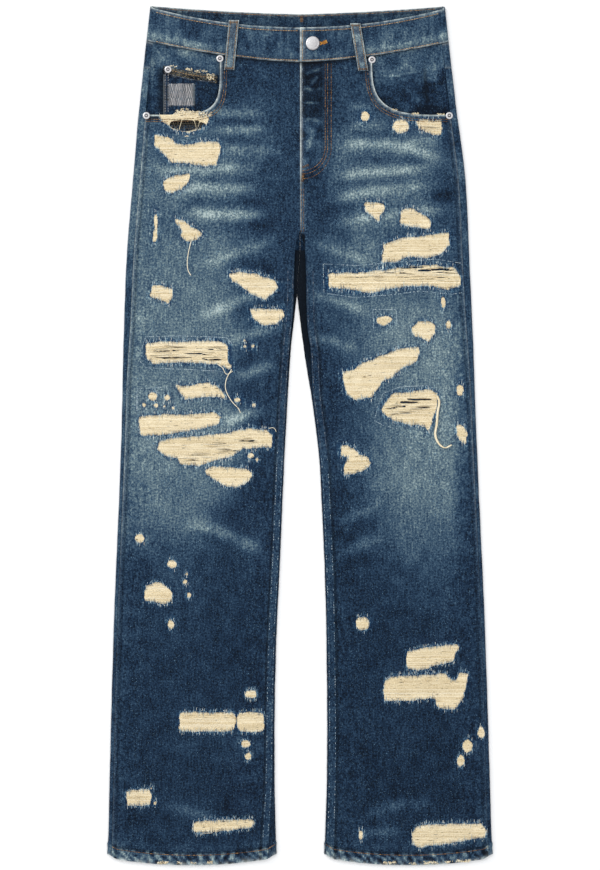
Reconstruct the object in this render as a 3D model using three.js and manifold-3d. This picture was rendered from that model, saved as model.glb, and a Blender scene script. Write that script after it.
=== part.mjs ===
// Ripped straight-leg jeans with five pockets, laid flat on their back with the front upwards.
// Millimetres. X runs across the garment to the wearer's left, Y up the garment from hem to waist,
// and Z up from the surface that it lies on. The origin is under the middle of the outline.
import * as THREE from 'three';
import { mergeVertices } from 'three/addons/utils/BufferGeometryUtils.js';
import Module from 'manifold-3d';

const wasm = await Module();
wasm.setup();

// Cloth
const CLOTH = 1.2;
const BAND_CLOTH = 2.4;
const LOOP_CLOTH = 1.2;
const GAP = 0.3;

// Heights on the garment's length
const HEM = -538;
const CROTCH = 231;
const CROTCH_FOLD = 174;
const FLY_FOOT = 300;
const POCKET_FOOT = 400;
const HIP_SEAM = 492;
const YOKE_SIDE = 458;
const YOKE_CENTRE = 423;

// How thick the laid garment is
const FOLD_RADIUS = 3.5;
const LEG_HEIGHT = 7.2;
const SEAT_RISE = 1.5;
const SEAT_HEIGHT = 9.0;
const FLY_SWELL = 1.4;
const LAP_DIP = CLOTH + GAP;
const FACING_EDGE = 0.9;
const LEG_SETTLE = 2.6;
const SEAT_SETTLE = 1.7;

// Waistband, belt loops, button and rivets
const BAND_WIDTH = 42;
const HALF_WAIST = 186;
const UNDERLAP = 30;
const LOOP_HALF = 6.2;
const LOOP_LENGTH = 62;
const LOOP_LIFT = GAP + LOOP_CLOTH + 0.15;
const LOOP_ARCH = 1.2;
const REAR_LOOP = 96;
const BUTTON = { x: 16, y: 489, cap: 8.8, shank: 2.2, hole: 2.6, plate: 4.6 };
const RIVET_RADIUS = 4.4;

// Pockets and fly
const FACING_TUCK = 12;
const COIN = {
  outer: 171,
  inner: 103,
  foot: POCKET_FOOT - 6,
  outerHead: 462,
  innerHead: 450,
  rivet: [-165, 457],
};
const BACK_POCKET = { centre: 98, half: 70, taper: 6, head: 428, side: 116, point: 22 };
const SHIELD = { inner: -14, outerFoot: 26, outerHead: 38 };
const TAPE = { centre: 4, half: 14, cloth: 1 };

const mix = (a, b, t) => a + (b - a) * t;
const steps = (count) => Array.from({ length: count + 1 }, (_, i) => i / count);

function ramp(low, high, value) {
  const t = Math.min(1, Math.max(0, (value - low) / (high - low)));
  return t * t * (3 - 2 * t);
}

// A smooth line through a few places along the garment, given as pairs of height and value from the top down.
function along(...places) {
  const slope = (i) => {
    const a = places[Math.max(0, i - 1)];
    const b = places[Math.min(places.length - 1, i + 1)];
    return (b[1] - a[1]) / (b[0] - a[0]);
  };
  return (y) => {
    let i = 0;
    while (i < places.length - 2 && y < places[i + 1][0]) i += 1;
    const [y0, v0] = places[i];
    const [y1, v1] = places[i + 1];
    const t = Math.min(1, Math.max(0, (y - y0) / (y1 - y0)));
    const reach = y1 - y0;
    const ease = t * t * (3 - 2 * t);
    const leave = t * (1 - t) * (1 - t) * reach * slope(i);
    const arrive = t * t * (t - 1) * reach * slope(i + 1);
    return mix(v0, v1, ease) + leave + arrive;
  };
}

// Each side is drawn with its own outline. `out` is measured outwards from the centre front.
const SIDES = [
  {
    name: 'right',
    sign: -1,
    outerFold: along(
      [538, 187], [420, 200], [319, 209], [219, 217],
      [106, 221], [-19, 224], [-269, 234], [-538, 240.5],
    ),
    innerFold: along([174, 4], [106, 11.5], [-19, 19], [-144, 24.5], [-269, 30], [-394, 32], [-538, 30]),
    inseam: along([174, 3.5], [140, 1.5], [-380, 1.5], [-440, 3], [-538, 10]),
    crotchEdge: along([258, 0], [231, 6], [174, 7.5]),
    pocketStart: 100,
    pocketSquareness: 5,
    facingDrop: 3.0,
    frontLoop: { top: [82.5, 518], foot: [88.5, 456] },
  },
  {
    name: 'left',
    sign: 1,
    outerFold: along(
      [538, 181], [420, 194], [319, 207], [219, 212],
      [106, 217], [-19, 221.5], [-269, 232.5], [-538, 240.5],
    ),
    innerFold: along(
      [174, -3.4], [106, 5], [44, 15], [-19, 23],
      [-81, 27], [-206, 32], [-394, 34], [-538, 31],
    ),
    inseam: along([174, 11.2], [138, 8], [106, 8], [75, 4.5], [44, 1.5], [-538, 1.5]),
    crotchEdge: along([258, 0], [231, 6], [174, 7.8]),
    pocketStart: 90,
    pocketSquareness: 3.6,
    facingDrop: 1.8,
    frontLoop: { top: [69, 514], foot: [79, 455] },
  },
];

const [right, left] = SIDES;

const outseamInset = along([538, 8.5], [170, 8.5], [40, 5], [-538, 5]);
const centreBack = along([231, 0], [174, -3.7]);

const frontTop = (x) => 509 + 25 * (x / HALF_WAIST) ** 2;
const frontSeam = (x) => 465.5 + 26 * Math.abs(x / 190) ** 1.6;
const backTop = (x) => 526.5 + 10 * Math.abs(x / HALF_WAIST) ** 1.5;
const backSeam = (x) => backTop(x) - BAND_WIDTH;

// The underside: flat on the surface down the legs, held up under the seat by pockets and belt loops.
const underside = (y) => SEAT_RISE * ramp(248, 285, y);

// The layers spring apart at the folds and settle on each other between them.
function settled(x, y) {
  const side = x < 0 ? right : left;
  const inner = y <= CROTCH_FOLD ? side.innerFold(y) : 0;
  const across = (2 * (Math.abs(x) - inner)) / (side.outerFold(y) - inner) - 1;
  const depth = mix(LEG_SETTLE, SEAT_SETTLE, ramp(200, 320, y)) * (1 - ramp(440, 500, y));
  return depth * (1 - Math.min(1, Math.abs(across)) ** 4);
}

// The upper side, before the folds round it off.
function upside(x, y) {
  const swell = FLY_SWELL * Math.exp(-((x / 60) ** 2)) * ramp(240, 320, y);
  return mix(LEG_HEIGHT, SEAT_HEIGHT, ramp(150, 470, y)) + swell - settled(x, y);
}

// Between the thighs the back cloth lies lower than the fronts.
const crotchDip = (y) => 2.4 * ramp(20, 110, y);

// Hems hang a little lower in the middle of each leg.
function bowed(side, out, y) {
  const inner = side.innerFold(y);
  const across = Math.abs((2 * (out - inner)) / (side.outerFold(y) - inner) - 1);
  return y + (10 * across ** 2.2 + 4 * ramp(0.88, 1, across)) * (1 - ramp(HEM, HEM + 110, y));
}

// One place on the cloth: where it is and which way its outside faces.
function place(side, out, y, z, tiltOut = 0, tiltUp = 1) {
  const size = Math.hypot(tiltOut, tiltUp);
  return {
    at: [side.sign * out, bowed(side, out, y), z],
    faces: [(side.sign * tiltOut) / size, 0, tiltUp / size],
  };
}

// A place on a fold. `way` is 1 at the outer fold and -1 at the inner one; the angle runs from 90 on top to -90.
function onFold(side, y, edge, way, height, angle) {
  const low = underside(y);
  const half = (height - low) / 2;
  const out = edge - way * FOLD_RADIUS * (1 - Math.cos(angle));
  const tiltOut = (way * Math.cos(angle)) / FOLD_RADIUS;
  return place(side, out, y, low + half * (1 + Math.sin(angle)), tiltOut, Math.sin(angle) / half);
}

// Places from a seam on the upper side, round a fold, to the underside.
function roundFold(side, y, edge, way, seamInset, dip, count) {
  const height = upside(side.sign * edge, y) - dip;
  const flat = Math.max(0, seamInset - FOLD_RADIUS);
  const start = Math.acos(Math.max(0, 1 - seamInset / FOLD_RADIUS));
  const arc = FOLD_RADIUS * (start + Math.PI / 2);
  return steps(count).map((t) => {
    const run = t * (flat + arc);
    if (run < flat) {
      const out = edge - way * (seamInset - run);
      return place(side, out, y, upside(side.sign * out, y) - dip);
    }
    return onFold(side, y, edge, way, height, start - (run - flat) / FOLD_RADIUS);
  });
}

// A closed wall of cloth on a grid of places: its outside, its inside one thickness behind, and its cut edges.
function wall(grid, thickness, present = () => true) {
  const rows = grid.length;
  const columns = grid[0].length;
  const points = [];
  for (const row of grid) {
    for (const { at, faces } of row) {
      points.push(...at);
      points.push(...at.map((value, axis) => value - faces[axis] * thickness));
    }
  }
  const outer = (i, j) => 2 * (i * columns + j);
  const has = (i, j) => i >= 0 && j >= 0 && i < rows - 1 && j < columns - 1 && present(i, j);
  const triangles = [];
  const square = (a, b, c, d) => triangles.push(a, b, c, a, c, d);
  for (let i = 0; i < rows - 1; i += 1) {
    for (let j = 0; j < columns - 1; j += 1) {
      if (!has(i, j)) continue;
      const [a, b, c, d] = [outer(i, j), outer(i, j + 1), outer(i + 1, j + 1), outer(i + 1, j)];
      square(a, b, c, d);
      square(d + 1, c + 1, b + 1, a + 1);
      if (!has(i - 1, j)) square(b, a, a + 1, b + 1);
      if (!has(i, j + 1)) square(c, b, b + 1, c + 1);
      if (!has(i + 1, j)) square(d, c, c + 1, d + 1);
      if (!has(i, j - 1)) square(a, d, d + 1, a + 1);
    }
  }
  const geometry = new THREE.BufferGeometry();
  geometry.setAttribute('position', new THREE.Float32BufferAttribute(points, 3));
  geometry.setIndex(volumeOf(points, triangles) > 0 ? triangles : triangles.reverse());
  return dropUnused(geometry);
}

function volumeOf(points, triangles) {
  let sum = 0;
  for (let k = 0; k < triangles.length; k += 3) {
    const [a, b, c] = triangles.slice(k, k + 3).map((i) => new THREE.Vector3(...points.slice(3 * i, 3 * i + 3)));
    sum += a.dot(b.cross(c)) / 6;
  }
  return sum;
}

// Leaves out the grid's places that no face uses.
function dropUnused(geometry) {
  return mergeVertices(geometry.toNonIndexed(), 1e-5);
}

// A strip or patch between two sides of a box in plan, on the heights that `surface` gives.
function patch(columns, rows, xAt, yAt, surface, thickness, facing = 1) {
  const grid = steps(rows).map((v) => steps(columns).map((u) => {
    const x = xAt(u, v);
    const y = yAt(u, v);
    return { at: [x, y, surface(x, y)], faces: [0, 0, facing] };
  }));
  return wall(grid, thickness);
}

// Heights of the rows of places up each leg, the crotch fold among them.
const LEG_ROWS = [-538, -500, -440, -375, -310, -245, -180, -115, -50, 10, 60, 105, 140, 174];
const SEAT_ROWS = [181, 205, 231, 262, 300, 345, 400];
const CROTCH_FOLD_ROW = LEG_ROWS.length - 1;
const CROTCH_ROW = CROTCH_FOLD_ROW + 3;

// Where the pocket opening leaves the waistband seam, rounds its corner and reaches the outseam.
function pocketMouth(side, turn) {
  const outer = side.outerFold(POCKET_FOOT) - outseamInset(POCKET_FOOT);
  const top = frontSeam(side.pocketStart);
  const power = 2 / side.pocketSquareness;
  return {
    out: outer - (outer - side.pocketStart) * Math.sin(turn) ** power,
    y: top - (top - POCKET_FOOT) * Math.cos(turn) ** power,
  };
}

// The front's inner edge: the inseam up to the crotch, then the centre front, where the left laps over the right.
function frontInnerEdge(side, y) {
  if (y <= CROTCH_FOLD) return side.innerFold(y) + side.inseam(y) + GAP / 2;
  const lap = side.sign > 0 ? 0 : -8;
  return side.crotchEdge(y) + GAP / 2 + lap * ramp(CROTCH + 20, 275, y);
}

// Upper side of a front, rounded down at the inner fold and dipped under the lap on the right.
function frontPlace(side, out, y) {
  const inner = side.innerFold(y);
  const reach = out - inner;
  if (y <= CROTCH_FOLD && reach < FOLD_RADIUS) {
    return onFold(side, y, inner, -1, upside(side.sign * inner, y), Math.acos(1 - reach / FOLD_RADIUS));
  }
  const x = side.sign * out;
  const dip = side.sign > 0 ? 0 : LAP_DIP * ramp(-16, -3, x) * ramp(CROTCH + 10, 262, y);
  return place(side, out, y, upside(x, y) - dip);
}

const EDGE_COLUMNS = [10, 4.5, 1.8, 0];
const FRONT_COLUMNS = 6;

// One row of a front, from the outseam or the pocket mouth to its inner edge.
function frontRow(side, outerEnd, innerY, seamShare) {
  const innerOut = frontInnerEdge(side, innerY);
  const evenEnd = innerOut + EDGE_COLUMNS[0];
  const outs = [
    ...steps(FRONT_COLUMNS).slice(0, -1).map((t) => mix(outerEnd.out, evenEnd, t)),
    ...EDGE_COLUMNS.map((inset) => innerOut + inset),
  ];
  return outs.map((out) => {
    const straight = mix(outerEnd.y, innerY, (outerEnd.out - out) / (outerEnd.out - innerOut));
    return frontPlace(side, out, mix(straight, frontSeam(out) - GAP / 2, seamShare));
  });
}

function frontPanel(side) {
  const lower = [...LEG_ROWS, ...SEAT_ROWS].map((y) => {
    const out = side.outerFold(y) - outseamInset(y) - GAP / 2;
    return frontRow(side, { out, y }, y, 0);
  });
  const turns = [0.2, 0.45, 0.7, 0.95, 1.2, Math.PI / 2];
  const upper = turns.map((turn, k) => {
    const share = (k + 1) / turns.length;
    return frontRow(side, pocketMouth(side, turn), mix(POCKET_FOOT, frontSeam(0) - GAP / 2, share), share);
  });
  return wall([...lower, ...upper], CLOTH);
}

const FOLD_STEPS = 5;
const UNDER_STEPS = 5;

// The back of one leg runs from the outseam round the outer fold, underneath and round the inner fold to the
// inseam. Above the crotch fold it parts at the inner fold: the lower share ends at the centre back seam, and
// the upper share shows between the thighs as far as the crotch.
function backRow(side, y, centreY = y) {
  const outer = roundFold(side, y, side.outerFold(y), 1, outseamInset(y) - GAP / 2, 0, FOLD_STEPS);
  const seam = side.sign * centreBack(y) + GAP / 2;
  const joined = y <= CROTCH_FOLD;
  const innerEnd = joined ? side.innerFold(y) + FOLD_RADIUS : seam + FOLD_RADIUS;
  const outerEnd = side.outerFold(y) - FOLD_RADIUS;
  const under = steps(UNDER_STEPS).slice(1, -1).map((t) => {
    const out = mix(outerEnd, innerEnd, t);
    const level = mix(y, centreY, t);
    return place(side, out, level, underside(level), 0, -1);
  });
  return [...outer, ...under, ...(joined ? joinedFold(side, y) : partedFold(side, y, centreY, seam))];
}

function joinedFold(side, y) {
  const inset = Math.max(0.6, side.inseam(y) - GAP / 2);
  return roundFold(side, y, side.innerFold(y), -1, inset, crotchDip(y), FOLD_STEPS).reverse();
}

function partedFold(side, y, centreY, seam) {
  const low = [FOLD_RADIUS, FOLD_RADIUS / 2, 0].map((step) => {
    return place(side, seam + step, centreY, underside(centreY), 0, -1);
  });
  const height = upside(0, y) - crotchDip(y);
  const inseam = Math.max(seam + 2, side.crotchEdge(y) - GAP / 2);
  const high = steps(2).map((t) => place(side, mix(seam, inseam, t), y, height));
  return [...low, ...high];
}

const SLIT_COLUMN = FOLD_STEPS + UNDER_STEPS + 2;

function backPanel(side) {
  const rows = [...LEG_ROWS, ...SEAT_ROWS].map((y) => backRow(side, y));
  rows[rows.length - 1] = backRow(side, POCKET_FOOT, 385);
  rows.push(backRow(side, YOKE_SIDE - GAP / 2, YOKE_CENTRE - GAP / 2));
  return wall(rows, CLOTH, (i, j) => {
    if (j === SLIT_COLUMN) return i < CROTCH_FOLD_ROW;
    return j < SLIT_COLUMN || i < CROTCH_ROW;
  });
}

// The waistband seam changes from the front's height to the back's as it goes round the fold.
function backYoke(side) {
  const underlying = (row) => row.slice(0, SLIT_COLUMN + 1);
  const foot = underlying(backRow(side, YOKE_SIDE + GAP / 2, YOKE_CENTRE + GAP / 2));
  const head = underlying(backRow(side, HIP_SEAM, backSeam(0))).map(({ at, faces }) => {
    const [x, , z] = at;
    const low = underside(HIP_SEAM);
    const share = 1 - Math.min(1, (z - low) / (upside(x, HIP_SEAM) - low));
    return { at: [x, mix(frontSeam(x), backSeam(x), share) - GAP, z], faces };
  });
  const middle = foot.map(({ at, faces }, j) => {
    return { at: at.map((value, axis) => mix(value, head[j].at[axis], 0.5)), faces };
  });
  return wall([foot, middle, head], CLOTH);
}

// The waistband is one strip: from the overlap end at the centre front, round the left side, the back and the
// right side, to the underlap that lies beneath the overlap.
function waistband() {
  const stations = [
    ...steps(7).slice(0, -1).map((t) => bandOnTop(mix(0, bandEnd(left), t), 0)),
    ...BAND_TURN.map((angle) => bandOnFold(left, angle)),
    ...steps(8).slice(1, -1).map((t) => bandUnderneath(mix(bandEnd(left), -bandEnd(right), t))),
    ...[...BAND_TURN].reverse().map((angle) => bandOnFold(right, angle)),
    ...steps(5).slice(1).map((t) => bandOnTop(mix(-bandEnd(right), -24, t), 0)),
    ...[-14, -4, 8, UNDERLAP].map((x) => bandOnTop(x, (BAND_CLOTH + GAP) * ramp(-24, -4, x))),
  ];
  const grid = steps(2).map((v) => stations.map(({ foot, head, at, faces }) => {
    return { at: at(mix(foot, head, v)), faces };
  }));
  return cutHole(wall(grid, BAND_CLOTH), BUTTON.x, BUTTON.y, BUTTON.hole);
}

const BAND_TURN = steps(6).map((t) => Math.PI * (0.5 - t));
const bandEnd = (side) => side.outerFold(HIP_SEAM) - FOLD_RADIUS;

function bandOnTop(x, dip) {
  return {
    foot: frontSeam(x) + GAP / 2,
    head: frontTop(x),
    at: (y) => [x, y, upside(x, y) - dip],
    faces: [0, 0, 1],
  };
}

function bandUnderneath(x) {
  return { foot: backSeam(x) + GAP / 2, head: backTop(x), at: (y) => [x, y, underside(y)], faces: [0, 0, -1] };
}

function bandOnFold(side, angle) {
  const share = (1 - Math.sin(angle)) / 2;
  const xAt = (y) => side.sign * (side.outerFold(y) - FOLD_RADIUS * (1 - Math.cos(angle)));
  const edge = xAt(HIP_SEAM);
  return {
    foot: mix(frontSeam(edge), backSeam(edge), share) + GAP / 2,
    head: mix(frontTop(edge), backTop(edge), share),
    at: (y) => {
      const x = xAt(y);
      const half = (upside(x, y) - underside(y)) / 2;
      return [x, y, underside(y) + half * (1 + Math.sin(angle))];
    },
    faces: [side.sign * Math.cos(angle), 0, Math.sin(angle)],
  };
}

function toSolid(geometry) {
  const bare = geometry.clone();
  bare.deleteAttribute('normal');
  bare.deleteAttribute('uv');
  const merged = mergeVertices(bare, 1e-5);
  return new wasm.Manifold(new wasm.Mesh({
    numProp: 3,
    vertProperties: new Float32Array(merged.attributes.position.array),
    triVerts: new Uint32Array(merged.index.array),
  }));
}

function cutHole(geometry, x, y, radius) {
  const drill = new THREE.CylinderGeometry(radius, radius, 20, 16);
  drill.rotateX(Math.PI / 2);
  drill.translate(x, y, SEAT_RISE + BAND_CLOTH + GAP + 10);
  const mesh = toSolid(geometry).subtract(toSolid(drill)).getMesh();
  const result = new THREE.BufferGeometry();
  result.setAttribute('position', new THREE.Float32BufferAttribute(mesh.vertProperties, 3));
  result.setIndex(Array.from(mesh.triVerts));
  return result;
}

// The pocket facing shows in the pocket mouth. It rises to the outseam and the waistband, and lies under the front.
function facingHeight(side, x, y) {
  const out = Math.abs(x);
  const outer = side.outerFold(y) - outseamInset(y);
  const mouthOuter = side.outerFold(POCKET_FOOT) - outseamInset(POCKET_FOOT);
  const top = frontSeam(side.pocketStart);
  const across = Math.max(0, (mouthOuter - out) / (mouthOuter - side.pocketStart));
  const down = Math.max(0, (top - y) / (top - POCKET_FOOT));
  const reach = Math.hypot(across ** 2, down ** 2) ** 0.5;
  const free = ramp(0, 8, outer - out) * ramp(0, 12, frontSeam(out) - y);
  return upside(x, y) - side.facingDrop * Math.max(free, ramp(0.7, 0.88, reach));
}

function pocketFacing(side) {
  const footY = POCKET_FOOT - FACING_TUCK;
  const inner = side.pocketStart - FACING_TUCK;
  const outerAt = (y) => side.outerFold(y) - outseamInset(y) - FACING_EDGE;
  const columns = [0, 0.05, 0.12, 0.35, 0.6, 0.85, 1];
  const rows = [0, 0.12, 0.24, 0.45, 0.7, 0.86, 0.93, 1];
  const grid = rows.map((v) => columns.map((u) => {
    const roughY = mix(footY, frontSeam(150), v);
    const out = mix(outerAt(roughY), inner, u);
    const y = mix(footY, frontSeam(out) - GAP / 2, v);
    const hidden = u === 0 && y < POCKET_FOOT + 6 ? side.facingDrop : 0;
    const x = side.sign * out;
    return { at: [x, y, hidden ? upside(x, y) - hidden : facingHeight(side, x, y)], faces: [0, 0, 1] };
  }));
  return wall(grid, CLOTH);
}

// The coin pocket lies on the right facing, and its foot is under the front.
function coinPocket(side) {
  const lift = CLOTH + GAP;
  const xAt = (u) => side.sign * mix(COIN.outer, COIN.inner, u);
  const yAt = (u, v) => mix(COIN.foot, mix(COIN.outerHead, COIN.innerHead, u), v);
  return patch(5, 5, xAt, yAt, (x, y) => upside(x, y) - side.facingDrop + lift, CLOTH);
}

// Inside the fly: the shield that backs it and the zip tape between shield and front.
function flyShield() {
  const xAt = (u, v) => mix(SHIELD.inner, mix(SHIELD.outerFoot, SHIELD.outerHead, Math.min(1, 2 * v)), u);
  const yAt = (u, v) => mix(FLY_FOOT + 4, frontSeam(0) - 2, v);
  return patch(2, 5, xAt, yAt, (x, y) => underside(y) + 2 * CLOTH + GAP, CLOTH);
}

function zipTape() {
  const xAt = (u) => TAPE.centre + mix(-TAPE.half, TAPE.half, u);
  const yAt = (u, v) => mix(FLY_FOOT + 10, frontSeam(0) - 3, v);
  const surface = (x, y) => underside(y) + 3 * CLOTH + 2 * GAP;
  return patch(2, 5, xAt, yAt, surface, TAPE.cloth);
}

// A belt loop on the front stands clear of the waistband and is tacked down at both ends.
function frontLoop(side) {
  const { top, foot } = side.frontLoop;
  const xAt = (u, v) => side.sign * mix(foot[0], top[0], v) + mix(-LOOP_HALF, LOOP_HALF, u);
  const yAt = (u, v) => mix(foot[1], top[1], v);
  const arch = (y) => LOOP_ARCH * Math.sin(Math.PI * ramp(foot[1], top[1], y));
  return patch(1, 8, xAt, yAt, (x, y) => upside(x, y) + LOOP_LIFT + arch(y), LOOP_CLOTH);
}

function backLoop(centre) {
  const head = backTop(centre) - 1;
  const xAt = (u) => centre + mix(-LOOP_HALF, LOOP_HALF, u);
  return patch(1, 4, xAt, (u, v) => mix(head - LOOP_LENGTH, head, v), () => 0, LOOP_CLOTH, -1);
}

// A plain five-sided patch pocket on the seat, under the garment as it lies.
function backPocket(side) {
  const { centre, half, taper, head, side: sideLength, point } = BACK_POCKET;
  const drop = (u) => sideLength + point * (1 - Math.abs(2 * u - 1));
  const width = (v) => mix(half - taper, half, v);
  const xAt = (u, v) => side.sign * (centre + mix(-width(v), width(v), u));
  return patch(4, 4, xAt, (u, v) => mix(head - drop(u), head, v), () => 0, CLOTH, -1);
}

function spun(profile, x, y, z, sides) {
  const geometry = new THREE.LatheGeometry(profile.map(([r, h]) => new THREE.Vector2(r, h)), sides);
  geometry.rotateX(Math.PI / 2);
  geometry.translate(x, y, z);
  return geometry;
}

function rivet(x, y, ground) {
  const profile = [[0, 0], [RIVET_RADIUS, 0], [RIVET_RADIUS, 0.6], [3.4, 1.3], [1.7, 1.1], [1.4, 1.9], [0, 2.1]];
  return spun(profile, x, y, ground + GAP, 14);
}

// The button's cap is over the overlap, its shank passes both layers, and its tack plate is inside.
function waistButton() {
  const plateFoot = underside(BUTTON.y) + BAND_CLOTH + GAP;
  const capFoot = upside(BUTTON.x, BUTTON.y) + GAP;
  const profile = [
    [0, plateFoot],
    [BUTTON.plate, plateFoot],
    [BUTTON.plate, plateFoot + 0.6],
    [BUTTON.shank, plateFoot + 0.6],
    [BUTTON.shank, capFoot],
    [BUTTON.cap, capFoot],
    [BUTTON.cap, capFoot + 1.2],
    [BUTTON.cap - 1.2, capFoot + 2.4],
    [BUTTON.cap - 4, capFoot + 3.1],
    [0, capFoot + 3.4],
  ];
  return spun(profile, BUTTON.x, BUTTON.y, 0, 20);
}

const finish = (color, roughness, metalness = 0) => new THREE.MeshStandardMaterial({ color, roughness, metalness });
const washedDenim = finish('#2c4560', 0.9);
const darkDenim = finish('#1d3048', 0.9);
const innerDenim = finish('#53606c', 0.92);
const zipCloth = finish('#2a2c30', 0.8);
const brushedSteel = finish('#c9c8c6', 0.35, 1);

const jeans = new THREE.Group();

function add(name, geometry, material) {
  const mesh = new THREE.Mesh(geometry, material);
  mesh.name = name;
  jeans.add(mesh);
}

for (const side of SIDES) {
  add(`front_panel_${side.name}`, frontPanel(side), washedDenim);
  add(`back_panel_${side.name}`, backPanel(side), darkDenim);
  add(`back_yoke_${side.name}`, backYoke(side), darkDenim);
  add(`pocket_facing_${side.name}`, pocketFacing(side), washedDenim);
  add(`back_pocket_${side.name}`, backPocket(side), darkDenim);
  add(`belt_loop_front_${side.name}`, frontLoop(side), washedDenim);
  add(`belt_loop_back_${side.name}`, backLoop(side.sign * REAR_LOOP), darkDenim);
  const innerX = side.pocketStart;
  add(`rivet_${side.name}_inner`, rivetOnFront(side, innerX, frontSeam(innerX) - 4.5), brushedSteel);
  add(`rivet_${side.name}_outer`, rivetOnFront(side, side.outerFold(POCKET_FOOT) - 10, POCKET_FOOT - 1), brushedSteel);
}
add('coin_pocket', coinPocket(right), washedDenim);
add('rivet_coin_pocket', coinRivet(), brushedSteel);
add('belt_loop_back_centre', backLoop(0), darkDenim);
add('fly_shield', flyShield(), innerDenim);
add('zip_tape', zipTape(), zipCloth);
add('waistband', waistband(), washedDenim);
add('waist_button', waistButton(), brushedSteel);

function rivetOnFront(side, out, y) {
  return rivet(side.sign * out, y, upside(side.sign * (out + RIVET_RADIUS), y));
}

function coinRivet() {
  const [x, y] = COIN.rivet;
  return rivet(x, y, upside(x, y) - right.facingDrop + CLOTH + GAP);
}

export default jeans;
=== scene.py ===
import math
import random
from functools import partial
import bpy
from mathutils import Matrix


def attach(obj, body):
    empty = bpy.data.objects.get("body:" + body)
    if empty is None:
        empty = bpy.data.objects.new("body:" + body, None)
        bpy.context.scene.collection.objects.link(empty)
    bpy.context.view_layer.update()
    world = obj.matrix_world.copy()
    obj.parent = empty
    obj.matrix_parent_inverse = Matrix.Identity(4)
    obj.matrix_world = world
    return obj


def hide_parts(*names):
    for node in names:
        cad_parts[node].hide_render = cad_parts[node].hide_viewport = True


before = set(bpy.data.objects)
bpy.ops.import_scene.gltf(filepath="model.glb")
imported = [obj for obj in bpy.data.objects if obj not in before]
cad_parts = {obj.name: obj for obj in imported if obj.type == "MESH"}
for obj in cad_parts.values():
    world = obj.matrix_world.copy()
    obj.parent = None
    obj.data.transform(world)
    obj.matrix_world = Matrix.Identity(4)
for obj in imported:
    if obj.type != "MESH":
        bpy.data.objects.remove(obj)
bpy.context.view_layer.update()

from types import SimpleNamespace

import bpy
import numpy as np

# Ripped straight-leg jeans, laid flat on their back with the front upwards.
# Sizes are in millimetres on the garment: x across to the wearer's left, y from hem to waist, z up from the
# surface. "Out" is the distance outwards from the centre front, the same way on both legs.
MM = 0.001
DENIM = 1.2
BAND_CLOTH = 2.4
GAP = 0.3

# Heights up the garment.
HEM = -538
CROTCH_FOLD = 174
CROTCH = 231
FLY_FOOT = 300
POCKET_FOOT = 400
YOKE_CENTRE = 423
YOKE_SIDE = 458
HIP_SEAM = 492
HEM_DEPTH = 15
BAND_WIDTH = 42
HALF_WAIST = 186
UNDERLAP = 30

# How thick the garment lies, and how far the middle of each leg and of the seat settles.
FOLD_RADIUS = 3.5
LEG_HEIGHT = 7.2
SEAT_HEIGHT = 9.0
SEAT_RISE = 1.5
LEG_SETTLE = 2.6
SEAT_SETTLE = 1.7
FLY_SWELL = 1.4
LAP_DIP = DENIM + GAP

# Small sewn pieces: their places, widths and heights.
MOUTH_REACH = 80
FACING_TURN = 12
COIN_OUTER = 171
COIN_WIDTH = 68
COIN_TOP_OUTER = 462
COIN_TOP_INNER = 450
COIN_SAG = 2.5
SEAT_PATCH_OUT = 98
SEAT_PATCH_TOP = 428
SEAT_PATCH_DEPTH = 116
SEAT_PATCH_POINT = 22
SEAT_PATCH_FOOT_HALF = 64
SEAT_PATCH_TOP_HALF = 70
LOOP_HALF = 6.2
LOOP_LENGTH = 62
STITCH_INSET = 1.9
REAR_LOOPS = {"right": -96, "centre": 0, "left": 96}
BUTTON_X = 16
BUTTON_Y = 489
BUTTON_HOLE = 2.6


# ---------------- curves and patterns by formula

def mix(a, b, t):
    return a + (b - a) * t


def ramp(low, high, value):
    """Rises softly from 0 at low to 1 at high."""
    t = np.clip((value - low) / (high - low), 0, 1)
    return t * t * (3 - 2 * t)


def drop(low, high, value):
    """Falls softly from 1 at low to 0 at high."""
    return 1 - ramp(low, high, value)


def peak(value, centre, width):
    """1 at the centre, falling off softly on both sides."""
    return np.exp(-((value - centre) / width) ** 2)


def fall(distance, width):
    """1 at the edge, falling off quickly away from it."""
    return np.exp(-distance / width)


def joined(x, y, z):
    return np.stack([x, y, z], axis=-1)


def along(*places):
    """A smooth line through (height, value) pairs, given from the top down."""
    heights = np.array([p[0] for p in places[::-1]], float)
    values = np.array([p[1] for p in places[::-1]], float)
    before = np.maximum(np.arange(len(places)) - 1, 0)
    after = np.minimum(np.arange(len(places)) + 1, len(places) - 1)
    slopes = (values[after] - values[before]) / (heights[after] - heights[before])

    def value(y):
        y = np.clip(y, heights[0], heights[-1])
        i = np.clip(np.searchsorted(heights, y, side="right") - 1, 0, len(heights) - 2)
        reach = heights[i + 1] - heights[i]
        t = (y - heights[i]) / reach
        ease = mix(values[i], values[i + 1], t * t * (3 - 2 * t))
        return ease + reach * (t * (1 - t) ** 2 * slopes[i] + t * t * (t - 1) * slopes[i + 1])

    return value


LATTICES = [np.random.RandomState(seed).uniform(-1, 1, (256, 256)) for seed in range(8)]


def mottle(x, y, size, seed=0):
    """Smooth cloudy noise from -1 to 1, with blotches about size across."""
    gx, gy = np.asarray(x) / size, np.asarray(y) / size
    ix, iy = np.floor(gx).astype(int), np.floor(gy).astype(int)
    tx, ty = gx - ix, gy - iy
    tx, ty = tx * tx * (3 - 2 * tx), ty * ty * (3 - 2 * ty)
    table = LATTICES[seed]
    near = mix(table[ix % 256, iy % 256], table[(ix + 1) % 256, iy % 256], tx)
    far = mix(table[ix % 256, (iy + 1) % 256], table[(ix + 1) % 256, (iy + 1) % 256], tx)
    return mix(near, far, ty)


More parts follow.
